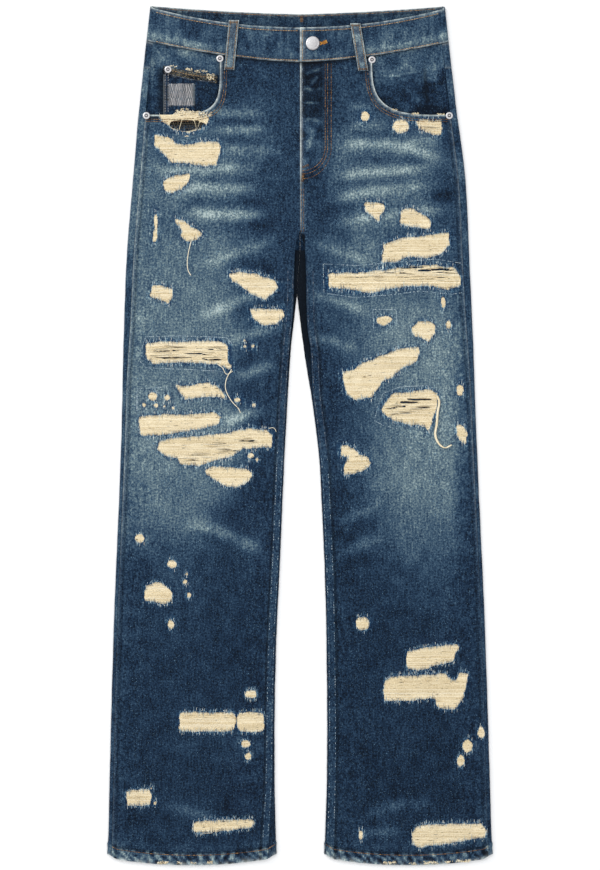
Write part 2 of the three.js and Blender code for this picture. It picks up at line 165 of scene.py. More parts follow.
def fluff(x, y, size=4):
    """Patchy wear from 0 to 1."""
    return 0.5 + 0.5 * mottle(x, y, size, 7)


# ---------------- the cut, side by side

RIGHT = SimpleNamespace(
    name="right", sign=-1,
    outer_fold=along((538, 187), (420, 200), (319, 209), (219, 217), (106, 221), (-19, 224), (-269, 234),
                     (-538, 240.5)),
    inner_fold=along((174, 4), (106, 11.5), (-19, 19), (-144, 24.5), (-269, 30), (-394, 32), (-538, 30)),
    inseam=along((174, 3.5), (140, 1.5), (-380, 1.5), (-440, 3), (-538, 10)),
    crotch_edge=along((258, 0), (231, 6), (174, 7.5)),
    inseam_band=10, mouth_start=100, mouth_square=5, facing_drop=3.0,
    loop_top=(82.5, 518), loop_foot=(88.5, 456))
LEFT = SimpleNamespace(
    name="left", sign=1,
    outer_fold=along((538, 181), (420, 194), (319, 207), (219, 212), (106, 217), (-19, 221.5),
                     (-269, 232.5), (-538, 240.5)),
    inner_fold=along((174, -3.4), (106, 5), (44, 15), (-19, 23), (-81, 27), (-206, 32), (-394, 34),
                     (-538, 31)),
    inseam=along((174, 11.2), (138, 8), (106, 8), (75, 4.5), (44, 1.5), (-538, 1.5)),
    crotch_edge=along((258, 0), (231, 6), (174, 7.8)),
    inseam_band=11, mouth_start=90, mouth_square=3.6, facing_drop=1.8,
    loop_top=(69, 514), loop_foot=(79, 455))
SIDES = (RIGHT, LEFT)

outseam_inset = along((538, 8.5), (170, 8.5), (40, 5), (-538, 5))
centre_back = along((231, 0), (174, -3.7))


def front_top(x):
    return 509 + 25 * (x / HALF_WAIST) ** 2


def front_seam(x):
    return 465.5 + 26 * np.abs(np.asarray(x) / 190) ** 1.6


def back_top(x):
    return 526.5 + 10 * np.abs(np.asarray(x) / HALF_WAIST) ** 1.5


def back_seam(x):
    return back_top(x) - BAND_WIDTH


def underside(y):
    return SEAT_RISE * ramp(248, 285, y)


def settled(x, y):
    """How far the fronts sink onto the backs between the folds."""
    out = np.abs(x)
    inner = np.where(np.asarray(x) < 0, RIGHT.inner_fold(y), LEFT.inner_fold(y))
    inner = inner * (np.asarray(y) <= CROTCH_FOLD)
    outer = np.where(np.asarray(x) < 0, RIGHT.outer_fold(y), LEFT.outer_fold(y))
    across = np.minimum(1, np.abs(2 * (out - inner) / (outer - inner) - 1))
    depth = mix(LEG_SETTLE, SEAT_SETTLE, ramp(200, 320, y)) * drop(440, 500, y)
    return depth * (1 - across ** 4)


def upside(x, y):
    """The upper side of the garment, before its folds, seams and creases."""
    swell = FLY_SWELL * peak(np.asarray(x), 0, 60) * ramp(240, 320, y)
    return mix(LEG_HEIGHT, SEAT_HEIGHT, ramp(150, 470, y)) + swell - settled(x, y)


def bowed(side, out, y):
    """Hems hang a little lower in the middle of each leg."""
    inner = side.inner_fold(y)
    across = np.abs(2 * (out - inner) / (side.outer_fold(y) - inner) - 1)
    lift = 10 * np.minimum(across, 1.05) ** 2.2 + 4 * ramp(0.88, 1, across)
    return y + lift * drop(HEM, HEM + 110, y)


def hem_line(side, out):
    return bowed(side, out, HEM + 0 * np.asarray(out))


def front_inner_edge(side, y):
    """The inseam up to the crotch, then the centre front, where the left laps over the right."""
    lap = (0 if side.sign > 0 else -8) * ramp(CROTCH + 20, 275, y)
    low = side.inner_fold(y) + side.inseam(y)
    return np.where(np.asarray(y) <= CROTCH_FOLD, low, side.crotch_edge(y) + lap) + GAP / 2


def front_outer_edge(side, y):
    return side.outer_fold(y) - outseam_inset(y) - GAP / 2


def mouth_corner(side):
    """How far out a pocket mouth's foot ends, and how high its inner end is."""
    return side.outer_fold(POCKET_FOOT) - outseam_inset(POCKET_FOOT), front_seam(side.mouth_start)


def mouth_shares(side, out, y):
    """Shares of the way in from the outseam and down from the waist seam, each 1 at the mouth's ends."""
    outer, top = mouth_corner(side)
    across = np.maximum(0, (outer - out) / (outer - side.mouth_start))
    return across, np.maximum(0, (top - y) / (top - POCKET_FOOT))


def mouth_field(side, x, y):
    """Above zero on the front, below zero in the pocket mouth, in millimetres from the mouth's edge."""
    across, down = mouth_shares(side, np.asarray(x) * side.sign, y)
    power = side.mouth_square
    return ((across ** power + down ** power) ** (1 / power) - 1) * MOUTH_REACH


def mouth_line(side, offset, count=60):
    """Places along the pocket mouth, moved out onto the front by offset."""
    outer, top = mouth_corner(side)
    turn = np.linspace(0, math.pi / 2, count)
    power = 2 / side.mouth_square
    out = outer - (outer - side.mouth_start + offset) * np.sin(turn) ** power
    y = top - (top - POCKET_FOOT + offset) * np.cos(turn) ** power
    return side.sign * out, y


# ---------------- fades, creases and rips

# Creases fanned out from the crotch and round the knees: the line of each, its half width, its depth, and how
# far its top has faded (below zero for the dark valleys between).
CREASES = [
    ([(-118, 404), (-35, 401)], 6, 0.3, 0.24), ([(-120, 381), (-35, 383)], 5, 0.3, 0.25),
    ([(-100, 357), (-55, 357), (-20, 352)], 6, 0.3, 0.2),
    ([(-192, 331), (-140, 330), (-100, 334), (-54, 334)], 5, 0.4, 0.32),
    ([(-168, 303), (-130, 310), (-95, 309), (-45, 307)], 6.5, 0.5, 0.33),
    ([(-142, 277), (-90, 275), (-35, 277)], 7, 0.5, 0.38),
    ([(-138, 211), (-90, 224), (-55, 237), (-16, 251)], 7.5, 0.5, 0.22),
    ([(-130, 145), (-95, 160), (-62, 173), (-30, 183)], 6.5, 0.5, 0.3),
    ([(-92, 116), (-60, 127), (-20, 137)], 7, 0.3, 0.32), ([(-84, 70), (-28, 90)], 7, 0.3, 0.32),
    ([(-98, 14), (-44, 36)], 7, 0.3, 0.36),
    ([(-150, -108), (-110, -117), (-80, -130), (-38, -151)], 8, 0.5, 0.33),
    ([(-178, -458), (-140, -470), (-100, -481)], 7, 0.3, 0.2),
    ([(-112, 392), (-45, 392)], 4, -0.2, -0.1), ([(-104, 371), (-45, 366)], 5, -0.2, -0.14),
    ([(-135, 320), (-45, 318)], 5, -0.2, -0.12), ([(-160, 290), (-35, 291)], 6, -0.2, -0.14),
    ([(-116, 259), (-22, 263)], 7, -0.2, -0.1),
    ([(60, 410), (92, 410)], 5, 0.2, 0.16), ([(58, 386), (112, 388)], 5, 0.3, 0.2),
    ([(42, 357), (70, 363), (110, 364), (145, 356), (190, 343)], 6, 0.5, 0.34),
    ([(128, 365), (180, 371)], 5, 0.2, 0.2),
    ([(42, 323), (70, 327), (120, 330), (168, 335)], 6, 0.5, 0.36),
    ([(34, 293), (80, 303), (120, 308), (175, 312)], 7, 0.5, 0.27),
    ([(36, 263), (75, 270), (110, 274), (160, 280), (200, 282)], 7, 0.5, 0.3),
    ([(10, 244), (50, 227), (98, 215)], 6.5, 0.4, 0.22),
    ([(10, 181), (30, 172), (60, 163), (94, 149)], 6.5, 0.4, 0.3),
    ([(12, 125), (50, 115), (80, 103)], 7, 0.4, 0.24),
    ([(42, -113), (75, -98), (110, -80)], 7, 0.5, 0.18),
    ([(42, -151), (75, -138), (112, -126)], 7, 0.4, 0.18),
    ([(78, -476), (110, -465), (130, -461), (178, -459)], 8, 0.3, 0.2),
    ([(72, -498), (134, -496)], 6, 0.2, 0.18),
    ([(56, 375), (125, 376)], 4, -0.2, -0.08), ([(55, 344), (175, 341)], 6, -0.2, -0.13),
    ([(40, 312), (140, 319)], 5, -0.2, -0.1), ([(28, 281), (78, 289)], 6, -0.2, -0.12),
    ([(162, 297), (196, 299)], 7, -0.2, -0.16),
    # Ripples down the fly.
    ([(4, 450), (14, 454), (28, 458)], 1.6, 0.4, 0.52), ([(13, 438), (18, 443), (23, 450)], 2.4, 0.5, 0.5),
    ([(3, 433.5), (10, 433), (18, 429)], 2.2, 0.5, 0.56), ([(20, 433), (29, 432)], 1.8, 0.3, 0.42),
    ([(2, 414), (14, 414.5), (29, 414)], 1.2, 0.3, 0.52),
    ([(4, 393), (13, 394.5), (26, 393)], 1.5, 0.5, 0.52),
    ([(8, 390), (14, 374), (9, 353)], 4.5, 0.3, 0.28), ([(18, 388), (15, 372), (11, 356)], 1.8, 0.2, 0.22),
    ([(3, 348), (6, 338), (9, 332)], 4, 0.4, 0.4), ([(22, 372), (24, 352), (19, 340)], 3, 0.2, 0.12),
    # Darker cloth between the rips.
    ([(60, 190), (118, 176), (190, 170)], 16, 0, -0.1), ([(90, 120), (128, 62), (150, -10)], 22, 0, -0.08),
    ([(96, 250), (130, 240), (175, 262)], 16, 0, -0.1), ([(-122, 112), (-96, 70), (-88, 30)], 20, 0, -0.12),
    ([(150, 352), (184, 336), (196, 318)], 10, 0, 0.1),
    ([(-106, 208), (-62, 214), (-22, 208)], 8, 0, -0.12),
]
# Creases on the back, under the seat and behind the knees, the same on both legs: as above, outwards from the
# centre.
BACK_CREASES = [
    ([(40, 292), (90, 280), (150, 284)], 9, 0.45, 0.12),
    ([(30, 262), (80, 246), (150, 240)], 9, 0.45, 0.12),
    ([(20, 216), (70, 206), (130, 212)], 8, 0.4, 0.1), ([(60, 30), (120, 22), (190, 32)], 9, 0.45, 0.13),
    ([(56, -4), (110, -16), (186, -8)], 9, 0.45, 0.15),
    ([(60, -42), (126, -50), (196, -40)], 9, 0.45, 0.13),
    ([(66, -84), (120, -92), (180, -86)], 8, 0.4, 0.1),
]
# Where wear has taken the dye out of each leg: how far it is gone, then where it starts and is full going
# outwards from the inseam, and where it starts to fall off and is back to dark at the outseam.
FADED = {
    "right": SimpleNamespace(
        worn=along((440, 0.20), (400, 0.28), (364, 0.43), (304, 0.48), (214, 0.50), (154, 0.56),
                   (94, 0.55), (34, 0.60), (-26, 0.62), (-60, 0.56), (-100, 0.46), (-135, 0.34),
                   (-170, 0.23), (-230, 0.18), (-538, 0.15)),
        dark=along((440, 0.22), (330, 0.22), (274, 0.20), (214, 0.20), (64, 0.2), (0, 0.22), (-90, 0.16),
                   (-538, 0.14)),
        inner=along((420, 15), (330, 22), (240, 32), (170, 50), (100, 68), (60, 68), (0, 46), (-60, 60),
                    (-120, 90)),
        full=along((420, 60), (330, 100), (240, 112), (170, 98), (100, 108), (60, 108), (0, 96), (-60, 112),
                   (-120, 150)),
        outer=along((420, 190), (100, 200), (-538, 210)), edge=along((420, 215), (100, 232), (-538, 250))),
    "left": SimpleNamespace(
        worn=along((440, 0.23), (394, 0.30), (364, 0.43), (304, 0.44), (214, 0.48), (154, 0.58),
                   (94, 0.63), (34, 0.65), (-56, 0.62), (-90, 0.55), (-120, 0.46), (-150, 0.34),
                   (-180, 0.24), (-230, 0.165), (-538, 0.115)),
        dark=along((440, 0.21), (330, 0.19), (274, 0.2), (154, 0.24), (94, 0.2), (-90, 0.15),
                   (-538, 0.135)),
        inner=along((420, 10), (274, 15), (214, 15), (100, 28), (-56, 40), (-140, 50)),
        full=along((420, 60), (274, 80), (214, 100), (100, 132), (-56, 145), (-140, 150)),
        outer=along((420, 136), (340, 156), (274, 146), (180, 168), (100, 180), (-538, 184)),
        edge=along((420, 190), (274, 195), (180, 212), (100, 217), (-538, 225))),
}

# Rips: outlines of the places where the blue warp is gone and the cream weft shows.
RIPS = {
    "right": [
        [(-182, 376), (-164, 372), (-155, 365), (-139, 363), (-122, 367), (-101, 366), (-99, 353),
         (-105, 337), (-122, 336), (-139, 339), (-161, 341), (-172, 352), (-182, 363)],
        [(-171, 317), (-161, 323), (-138, 327), (-138, 317), (-149, 307), (-161, 303), (-170, 306)],
        [(-182, 281), (-179, 281), (-178, 263), (-180, 241), (-184, 241), (-182, 263)],
        [(-158, 271), (-146, 269), (-138, 262), (-125, 256), (-121, 251), (-130, 244), (-142, 242),
         (-150, 249), (-146, 256), (-155, 264)],
        [(-186, 187), (-175, 188), (-160, 182), (-159, 172), (-165, 164), (-176, 169), (-188, 173)],
        [(-89, 202), (-76, 204), (-52, 201), (-32, 194), (-26, 186), (-34, 178), (-44, 169), (-62, 177),
         (-74, 187), (-85, 192)],
        [(-64, 159), (-41, 157), (-21, 158), (-20, 148), (-31, 138), (-46, 137), (-59, 145)],
        [(-192, 114), (-170, 117), (-139, 117), (-102, 118), (-90, 112), (-90, 94), (-85, 87), (-86, 81),
         (-106, 89), (-139, 91), (-182, 89), (-194, 97)],
        [(-156, 62), (-139, 62), (-115, 66), (-99, 58), (-92, 44), (-102, 48), (-126, 47), (-144, 44),
         (-150, 52)],
        [(-201, 23), (-170, 26), (-139, 26), (-106, 29), (-99, 23), (-102, 13), (-122, 8), (-154, 3),
         (-182, -1), (-198, -1), (-203, 13)],
        [(-176, -9), (-162, -4), (-122, -1), (-90, 3), (-65, 8), (-42, 7), (-35, -1), (-36, -16),
         (-51, -16), (-71, -17), (-85, -27), (-110, -33), (-126, -39), (-150, -37), (-154, -29),
         (-170, -26), (-179, -17)],
        [(-120, -43), (-106, -39), (-86, -41), (-66, -42), (-59, -49), (-65, -59), (-79, -66), (-92, -64),
         (-106, -56), (-116, -51)],
        [(-193, -189), (-180, -184), (-169, -187), (-160, -196), (-159, -207), (-169, -213), (-181, -209),
         (-195, -207)],
        [(-151, -349), (-148, -347), (-85, -347), (-82, -351), (-82, -367), (-85, -371), (-148, -371),
         (-151, -367)],
        [(-78, -351), (-74, -347), (-49, -347), (-45, -351), (-45, -367), (-49, -371), (-74, -371),
         (-78, -367)],
        [(-219, -446), (-206, -443), (-188, -443), (-185, -452), (-188, -462), (-200, -464), (-216, -463)],
        [(-134, -487), (-129, -483), (-104, -482), (-82, -481), (-61, -480), (-57, -485), (-62, -491),
         (-82, -494), (-104, -497), (-130, -498), (-135, -493)],
        [(-175, 402), (-148, 402), (-121, 401), (-112, 396), (-116, 389), (-125, 381), (-142, 378),
         (-159, 382), (-168, 389), (-175, 396)],
    ],
    "left": [
        [(144, 393), (176, 394), (178, 383), (176, 374), (163, 376), (149, 382)],
        [(80, 291), (95, 291), (105, 288), (106, 282), (101, 274), (98, 266), (91, 272), (81, 281)],
        [(126, 282), (138, 284), (149, 279), (160, 273), (164, 266), (162, 259), (145, 259), (131, 261),
         (125, 267)],
        [(105, 238), (126, 246), (149, 249), (169, 251), (185, 253), (188, 239), (175, 226), (159, 221),
         (138, 223), (126, 219), (120, 216), (102, 216)],
        [(34, 202), (68, 203), (105, 206), (138, 211), (169, 213), (175, 211), (194, 209), (201, 198),
         (201, 187), (185, 181), (165, 186), (138, 187), (115, 183), (88, 178), (61, 182), (36, 184)],
        [(140, 134), (148, 142), (161, 143), (169, 138), (169, 126), (161, 116), (152, 121), (142, 124)],
        [(52, 79), (68, 82), (79, 91), (99, 98), (125, 108), (148, 111), (150, 102), (145, 91), (128, 83),
         (115, 72), (103, 67), (98, 57), (89, 47), (68, 44), (58, 51)],
        [(115, 52), (139, 54), (162, 57), (172, 52), (171, 33), (167, 21), (161, 4), (155, 11), (135, 13),
         (118, 18), (103, 27), (101, 33), (108, 42)],
        [(195, 13), (202, 13), (209, 4), (208, -11), (202, -9), (196, 1)],
        [(50, -14), (59, -12), (69, -19), (74, -24), (85, -27), (89, -36), (81, -43), (68, -49), (55, -51),
         (54, -41), (61, -27), (51, -26)],
        [(132, -279), (134, -271), (148, -268), (171, -264), (196, -261), (199, -267), (191, -283),
         (175, -287), (160, -292), (148, -295), (134, -291)],
        [(105, -307), (114, -302), (148, -301), (182, -298), (188, -307), (195, -307), (200, -297),
         (210, -299), (209, -311), (204, -329), (196, -342), (180, -344), (171, -338), (169, -329),
         (141, -332), (105, -333), (104, -319)],
        [(144, -491), (152, -488), (189, -486), (226, -486), (234, -494), (231, -504), (208, -507),
         (182, -512), (149, -516), (140, -512), (140, -499)],
    ],
}
# Small worn-through spots: centre, width and height.
SPOTS = {
    "right": [
        (-69, 118, 5, 5), (-69, 111, 5, 5), (-59, 111, 5, 5), (-184, 48, 11, 11), (-166, 47, 8, 8),
        (-195, 38, 5, 5), (-180, 37, 6, 6), (-170, 36, 5, 5), (-159, 34, 5, 5), (-79, 44, 8, 5),
        (-58, 37, 6, 6), (-62, -26, 8, 6), (-54, -31, 5, 5), (-201, -129, 11, 11), (-160, -162, 11, 9),
        (-142, -174, 4, 4), (-144, -184, 6, 6), (-139, -201, 6, 6), (-162, -236, 8, 11),
        (-62, -324, 15, 10), (-68, -386, 11, 9), (-65, -402, 8, 8), (-186, -442, 5, 4), (-181, -461, 4, 5)],
    "left": [
        (81, 398, 11, 12), (126, 386, 20, 18), (179, 167, 5, 12), (105, 143, 20, 12), (186, 138, 8, 12),
        (200, 57, 8, 14), (78, -236, 18, 16), (226, -372, 9, 15), (210, -389, 12, 15), (201, -407, 9, 14),
        (76, -501, 5, 12)],
}
# Openings between the weft threads, where it is dark inside: ends, middle height and half height.
SLITS = {
    "right": [(-164, -117, 387.5, 6.6), (-188, -150, 105, 0.6), (-176, -134, 97, 0.5),
              (-148, -112, 101.5, 0.6), (-124, -97, 95.5, 0.7), (-116, -92, 108, 0.5),
              (-170, -140, 109, 0.3), (-190, -160, 98, 0.3), (-78, -56, -7, 0.6), (-102, -72, -20, 0.6),
              (-150, -126, -31, 0.4), (-124, -92, -12, 0.3), (-140, -104, -25, 0.3)],
    "left": [(144, 170, 384, 0.5), (118, 156, 211, 0.9), (146, 194, 207, 1.2), (164, 198, 203, 0.6),
             (104, 142, 203, 0.5), (60, 104, 197, 0.3), (120, 190, 196, 0.3), (118, 150, 40, 1.1),
             (132, 166, 44, 1.0), (106, 134, 35, 0.7), (140, 166, 34, 0.6), (112, 142, 27, 0.4)],
}
# Strands of painted shadow along each slit: how many, and the tone that colours them.
SHADOW_STRANDS = 5
SHADOW_TONE = -0.35


def outline_distance(points, x, y):
    """Distance to a closed outline, below zero inside it."""
    corners = np.array(points, float)
    nearest = np.full(np.shape(x), 1e9)
    inside = np.zeros(np.shape(x), bool)
    for (ax, ay), (bx, by) in zip(corners, np.roll(corners, -1, axis=0)):
        dx, dy = bx - ax, by - ay
        t = np.clip(((x - ax) * dx + (y - ay) * dy) / (dx * dx + dy * dy), 0, 1)
        nearest = np.minimum(nearest, np.hypot(x - ax - t * dx, y - ay - t * dy))
        crossing = (ay > y) != (by > y)
        reach = ax + (y - ay) * dx / (dy if dy else 1e-9)
        inside ^= crossing & (x < reach)
    return np.where(inside, -nearest, nearest)


def spot_distance(spot, x, y):
    cx, cy, width, height = spot
    reach = np.hypot((x - cx) / (width / 2), (y - cy) / (height / 2))
    return (reach - 1) * min(width, height) / 2


def rip_boxes(side):
    """Every rip and spot of one leg: its distance function, and the box that holds it."""
    found = []
    for points in RIPS[side.name]:
        xs, ys = zip(*points)
        found.append((partial(outline_distance, points), min(xs), max(xs), min(ys), max(ys)))
    for spot in SPOTS[side.name]:
        cx, cy, w, h = spot
        found.append((partial(spot_distance, spot), cx - w / 2, cx + w / 2, cy - h / 2, cy + h / 2))
    return found


def ragged(x, y):
    """How far a torn edge strays from its outline."""
    return mottle(x, y, 2.9, 1) + 0.8 * mottle(x, y, 7.0, 2)


# The rips with a sewn outline, and a darker collar inside it.
COLLARED = {"right": (7,), "left": (4, 7)}


def rip_distance(side, x, y, margin=16, only=None):
    """Distance to the nearest rip's ragged edge: below zero where the warp is gone."""
    nearest = np.full(np.shape(x), 30.0)
    for number, (shape, x0, x1, y0, y1) in enumerate(rip_boxes(side)):
        if only is not None and number not in only:
            continue
        near = (x > x0 - margin) & (x < x1 + margin) & (y > y0 - margin) & (y < y1 + margin)
        if near.any():
            nearest[near] = np.minimum(nearest[near], shape(x[near], y[near]) + ragged(x[near], y[near]))
    return nearest


def crease_share(crease, x, y):
    """How much of a crease is at x, y: full along the middle of its line, soft at its sides and ends."""
    line, width = np.array(crease[0], float), crease[1]
    steps = np.hypot(*np.diff(line, axis=0).T)
    starts = np.concatenate([[0], np.cumsum(steps)])
    share = np.zeros(np.shape(x))
    reach = 2.6 * width
    near = (x > line[:, 0].min() - reach) & (x < line[:, 0].max() + reach)
    near &= (y > line[:, 1].min() - reach) & (y < line[:, 1].max() + reach)
    if not near.any():
        return share
    x, y = x[near], y[near]
    nearest, run = np.full(x.shape, 1e9), np.zeros(x.shape)
    for (ax, ay), (bx, by), step, start in zip(line[:-1], line[1:], steps, starts):
        t = ((x - ax) * (bx - ax) + (y - ay) * (by - ay)) / step ** 2
        held = np.clip(t, 0, 1)
        off = np.hypot(x - ax - held * (bx - ax), y - ay - held * (by - ay))
        closer = off < nearest
        nearest = np.where(closer, off, nearest)
        run = np.where(closer, start + held * step, run)
    t = run / starts[-1]
    taper = (0.1 + 0.9 * ramp(0, 0.22, t)) * (0.1 + 0.9 * drop(0.7, 1, t))
    share[near] = peak(nearest, 0, width) * taper * (1 + 0.25 * mottle(x, y, 11, 5))
    return share


def creasing(x, y):
    """Height of the soft folds and valleys in the cloth."""
    x, y = np.broadcast_arrays(np.asarray(x, float), np.asarray(y, float))
    height = 0.35 * mottle(x, y, 70, 3) + 0.16 * mottle(x, y, 26, 4)
    for crease in CREASES:
        height += crease[2] * crease_share(crease, x, y)
    return height


def fading(side, x, y):
    """How far the dye has gone, from 0 to about 1."""
    zone = FADED[side.name]
    out = np.abs(x) + 6 * mottle(x, y, 40, 6)
    across = ramp(zone.inner(y), zone.full(y), out) * drop(zone.outer(y), zone.edge(y), out)
    fade = mix(zone.dark(y), zone.worn(y), across)
    fade += 0.03 * mottle(x, y, 45, 5) + 0.035 * mottle(x, y, 13, 6)
    for crease in CREASES:
        fade += crease[3] * crease_share(crease, x, y)
    return fade


# ---------------- surfaces that other pieces lie on

def puckers(run, pitch, seed):
    """Gathers along a seam, one each pitch, unevenly spaced."""
    return np.sin(2 * math.pi * (run + 2.2 * mottle(run, run * 0 + 7, 11, seed)) / pitch)


def front_relief(side, out, y):
    """What seams, hem and creases add to the front's height, and how worn each makes it."""
    x = side.sign * out

    # The felled inseam, up to the crotch.
    inseam = out - front_inner_edge(side, y)
    felling = side.inseam_band
    felled = ramp(-0.5, 1.2, inseam) * drop(felling - 1.5, felling + 1, inseam) * drop(205, 235, y)
    gather = puckers(y, 7.5, 1)
    height = creasing(x, y) * ramp(0, 18, inseam) + felled * (0.5 + 0.16 * gather)
    fade = felled * (mix(0.08, 0.0, ramp(-60, 60, y)) + 0.08 * np.maximum(0, gather))

    # The outseam, rolled over its allowance.
    outseam = front_outer_edge(side, y) - out
    rolled = drop(0, 6, outseam)
    gather = puckers(y, 9, 2)
    height += rolled * (0.35 + 0.12 * gather)
    fade += rolled * 0.1 + 0.08 * peak(outseam, 9, 4) * (0.5 + 0.5 * gather)

    # The hem, roped by washing.
    above_hem = y - hem_line(side, out)
    hem = drop(HEM_DEPTH - 1, HEM_DEPTH + 1, above_hem)
    roping = np.tanh(1.6 * np.sin(2 * math.pi * (x + 0.8 * above_hem + 6 * mottle(x, y, 13, 3)) / 11.5))
    height += hem * (1.1 + 0.3 * roping)
    fade += hem * (0.19 + 0.24 * roping + 0.3 * mottle(x, y, 5, 2))
    fade += 0.08 * peak(above_hem, 22, 6) * (1 + mottle(x, y, 4, 6))

    # The fly, rucked over the zip, and the lapped seam below it.
    if side is LEFT:
        fly = drop(26, 30, out) * ramp(FLY_FOOT - 2, FLY_FOOT + 12, y)
        ruck = mottle(x * 0.35 + 0.2 * y, y, 8.5, 5) + 0.5 * mottle(x, y, 5, 2)
        height += 0.55 * fly * ruck
        fade += fly * (mix(0.0, -0.12, ramp(388, 398, y)) * ramp(1, 5, out) + 0.14 * ruck)
        lapped = drop(6.5, 9, out) * drop(FLY_FOOT - 2, FLY_FOOT + 12, y)
        lapped = lapped * ramp(CROTCH + 12, CROTCH + 30, y)
        height += lapped * (0.5 + 0.15 * puckers(y, 7, 4))
        fade += lapped * 0.12

    # Gathers under the waistband and round the pocket mouth.
    under_band = drop(2, 10, front_seam(x) - y)
    height -= under_band * 0.25 * (1 + puckers(x, 8, 5))
    fade -= under_band * 0.06
    rim = np.abs(mouth_field(side, x, y))
    height += 0.5 * drop(8.5, 10.5, rim)
    fade += 0.06 * drop(7, 12, rim) * (1 + puckers(x + y, 7, 3))
    return height, fade


def front_height(side, out, y):
    """Height of a front's outside, folds and lap included."""
    out, y = np.asarray(out, float), np.asarray(y, float)
    x = side.sign * out
    inner = side.inner_fold(y)
    reach = out - inner
    height = upside(x, y)
    if side.sign < 0:
        height -= LAP_DIP * ramp(-16, -3, x) * ramp(CROTCH + 10, 262, y)
    low = underside(y)
    half = (upside(side.sign * inner, y) - low) / 2
    angle = np.arccos(np.clip(1 - reach / FOLD_RADIUS, -1, 1))
    rounded = low + half * (1 + np.sin(angle))
    height = np.where((y <= CROTCH_FOLD) & (reach < FOLD_RADIUS), rounded, height)
    return height + front_relief(side, out, y)[0]


def height_map(side):
    """The front's height every millimetre, for laying threads on it quickly."""
    out, y = np.meshgrid(np.arange(-12, 250.0), np.arange(HEM - 8, 520.0))
    return front_height(side, out, y)


HEIGHTS = {side.name: height_map(side) for side in SIDES}


def lying_on(side, x, y):
    """Height of a front at x, y."""
    column = np.clip(np.asarray(x, float) * side.sign + 12, 0, 260)
    row = np.clip(np.asarray(y, float) - HEM + 8, 0, 1064)
    i, j = row.astype(int), column.astype(int)
    table, t, s = HEIGHTS[side.name], row - i, column - j
    low = mix(table[i, j], table[i, j + 1], s)
    high = mix(table[i + 1, j], table[i + 1, j + 1], s)
    return mix(low, high, t)


def on_front(x, y):
    """Height of whichever front is at x, y."""
    return np.where(np.asarray(x) < 0, lying_on(RIGHT, x, y), lying_on(LEFT, x, y))


def band_height(x, y):
    """Height of the waistband's outside on top: overlap over underlap, gathered along both edges."""
    x, y = np.asarray(x, float), np.asarray(y, float)
    edge = np.minimum(front_top(x) - y, y - front_seam(x))
    return upside(x, y) + 0.25 * mottle(x, y, 24, 4) + 0.14 * puckers(x, 8, 5) * peak(edge, 3, 3)


def facing_height(side, x, y):
    """Height of a pocket facing, held up at the seams and sunk in the pocket's mouth."""
    x, y = np.asarray(x, float), np.asarray(y, float)
    out = np.abs(x)
    across, down = mouth_shares(side, out, y)
    reach = np.hypot(across ** 2, down ** 2) ** 0.5
    outer = side.outer_fold(y) - outseam_inset(y)
    free = ramp(0, 8, outer - out) * ramp(0, 12, front_seam(out) - y)
    return upside(x, y) - side.facing_drop * np.maximum(free, ramp(0.7, 0.88, reach))


def coin_height(x, y):
    return upside(x, y) - RIGHT.facing_drop + DENIM + GAP


def coin_top(u):
    """Height of the coin pocket's top edge, u across from its outer side."""
    return mix(COIN_TOP_OUTER, COIN_TOP_INNER, u)


def loop_line(side, v):
    """The middle of a front belt loop, v up from its foot."""
    (foot_x, foot_y), (top_x, top_y) = side.loop_foot, side.loop_top
    return side.sign * mix(foot_x, top_x, v), mix(foot_y, top_y, v)


def off_loop(side, x, y):
    """Distance across from the middle of a front belt loop."""
    foot, top = side.loop_foot[1], side.loop_top[1]
    return np.abs(x - loop_line(side, (y - foot) / (top - foot))[0])


def beside_loops(x, y):
    """Painted shadow of the front belt loops: full against their sides and under their foot, gone a couple of
    millimetres away.
    """
    nearest = np.full(np.shape(x), 9.0)
    for side in SIDES:
        aside = np.maximum(off_loop(side, x, y) - LOOP_HALF, 0)
        nearest = np.minimum(nearest, np.hypot(aside, np.maximum(side.loop_foot[1] - y, 0)))
    return peak(nearest, 0, 1.3)


# ---------------- making meshes

def store(mesh, key, values):
    mesh.attributes.new(key, "FLOAT", "POINT").data.foreach_set("value", np.asarray(values, np.float32))


def only(piece):
    """Makes a piece the only one selected, and the active one."""
    bpy.ops.object.select_all(action="DESELECT")
    piece.select_set(True)
    bpy.context.view_layer.objects.active = piece


def new_piece(name, points, faces, material, slot, nodes=(), attributes=None, crisp=50):
    """A piece of the garment from points in millimetres, riding on the body and standing for nodes."""
    mesh = bpy.data.meshes.new(name)
    mesh.from_pydata((np.asarray(points) * MM).tolist(), [], faces)
    for key, values in (attributes or {}).items():
        store(mesh, key, values)
    piece = bpy.data.objects.new(name, mesh)
    bpy.context.collection.objects.link(piece)
    return finished(piece, material, slot, nodes, crisp)


def finished(piece, material, slot, nodes=(), crisp=50):
    """Gives a piece its material, its smooth shading, its body and the CAD nodes it stands for."""
    piece.data.materials.clear()
    piece.data.materials.append(material)
    only(piece)
    bpy.ops.object.shade_smooth_by_angle(angle=math.radians(crisp))
    piece.select_set(False)
    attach(piece, "root")
    if nodes:
        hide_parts(*nodes)
    return piece


def facing_out(points, toward):
    """Unit normals of a grid of points, on the side that toward gives."""
    down = np.gradient(points, axis=0)
    across = np.gradient(points, axis=1)
    normals = np.cross(across, down)
    normals /= np.maximum(np.linalg.norm(normals, axis=2, keepdims=True), 1e-9)
    if np.sum(normals * toward) < 0:
        normals = -normals
    return normals


def cut_cell(corners, keep, cut):
    """The part of one grid cell that is kept, as a loop of corners and cut places."""
    loop = []
    for here, there in zip(corners, corners[1:] + corners[:1]):
        if keep[here] > 0:
            loop.append(here)
        if (keep[here] > 0) != (keep[there] > 0):
            loop.append(cut(here, there))
    return loop


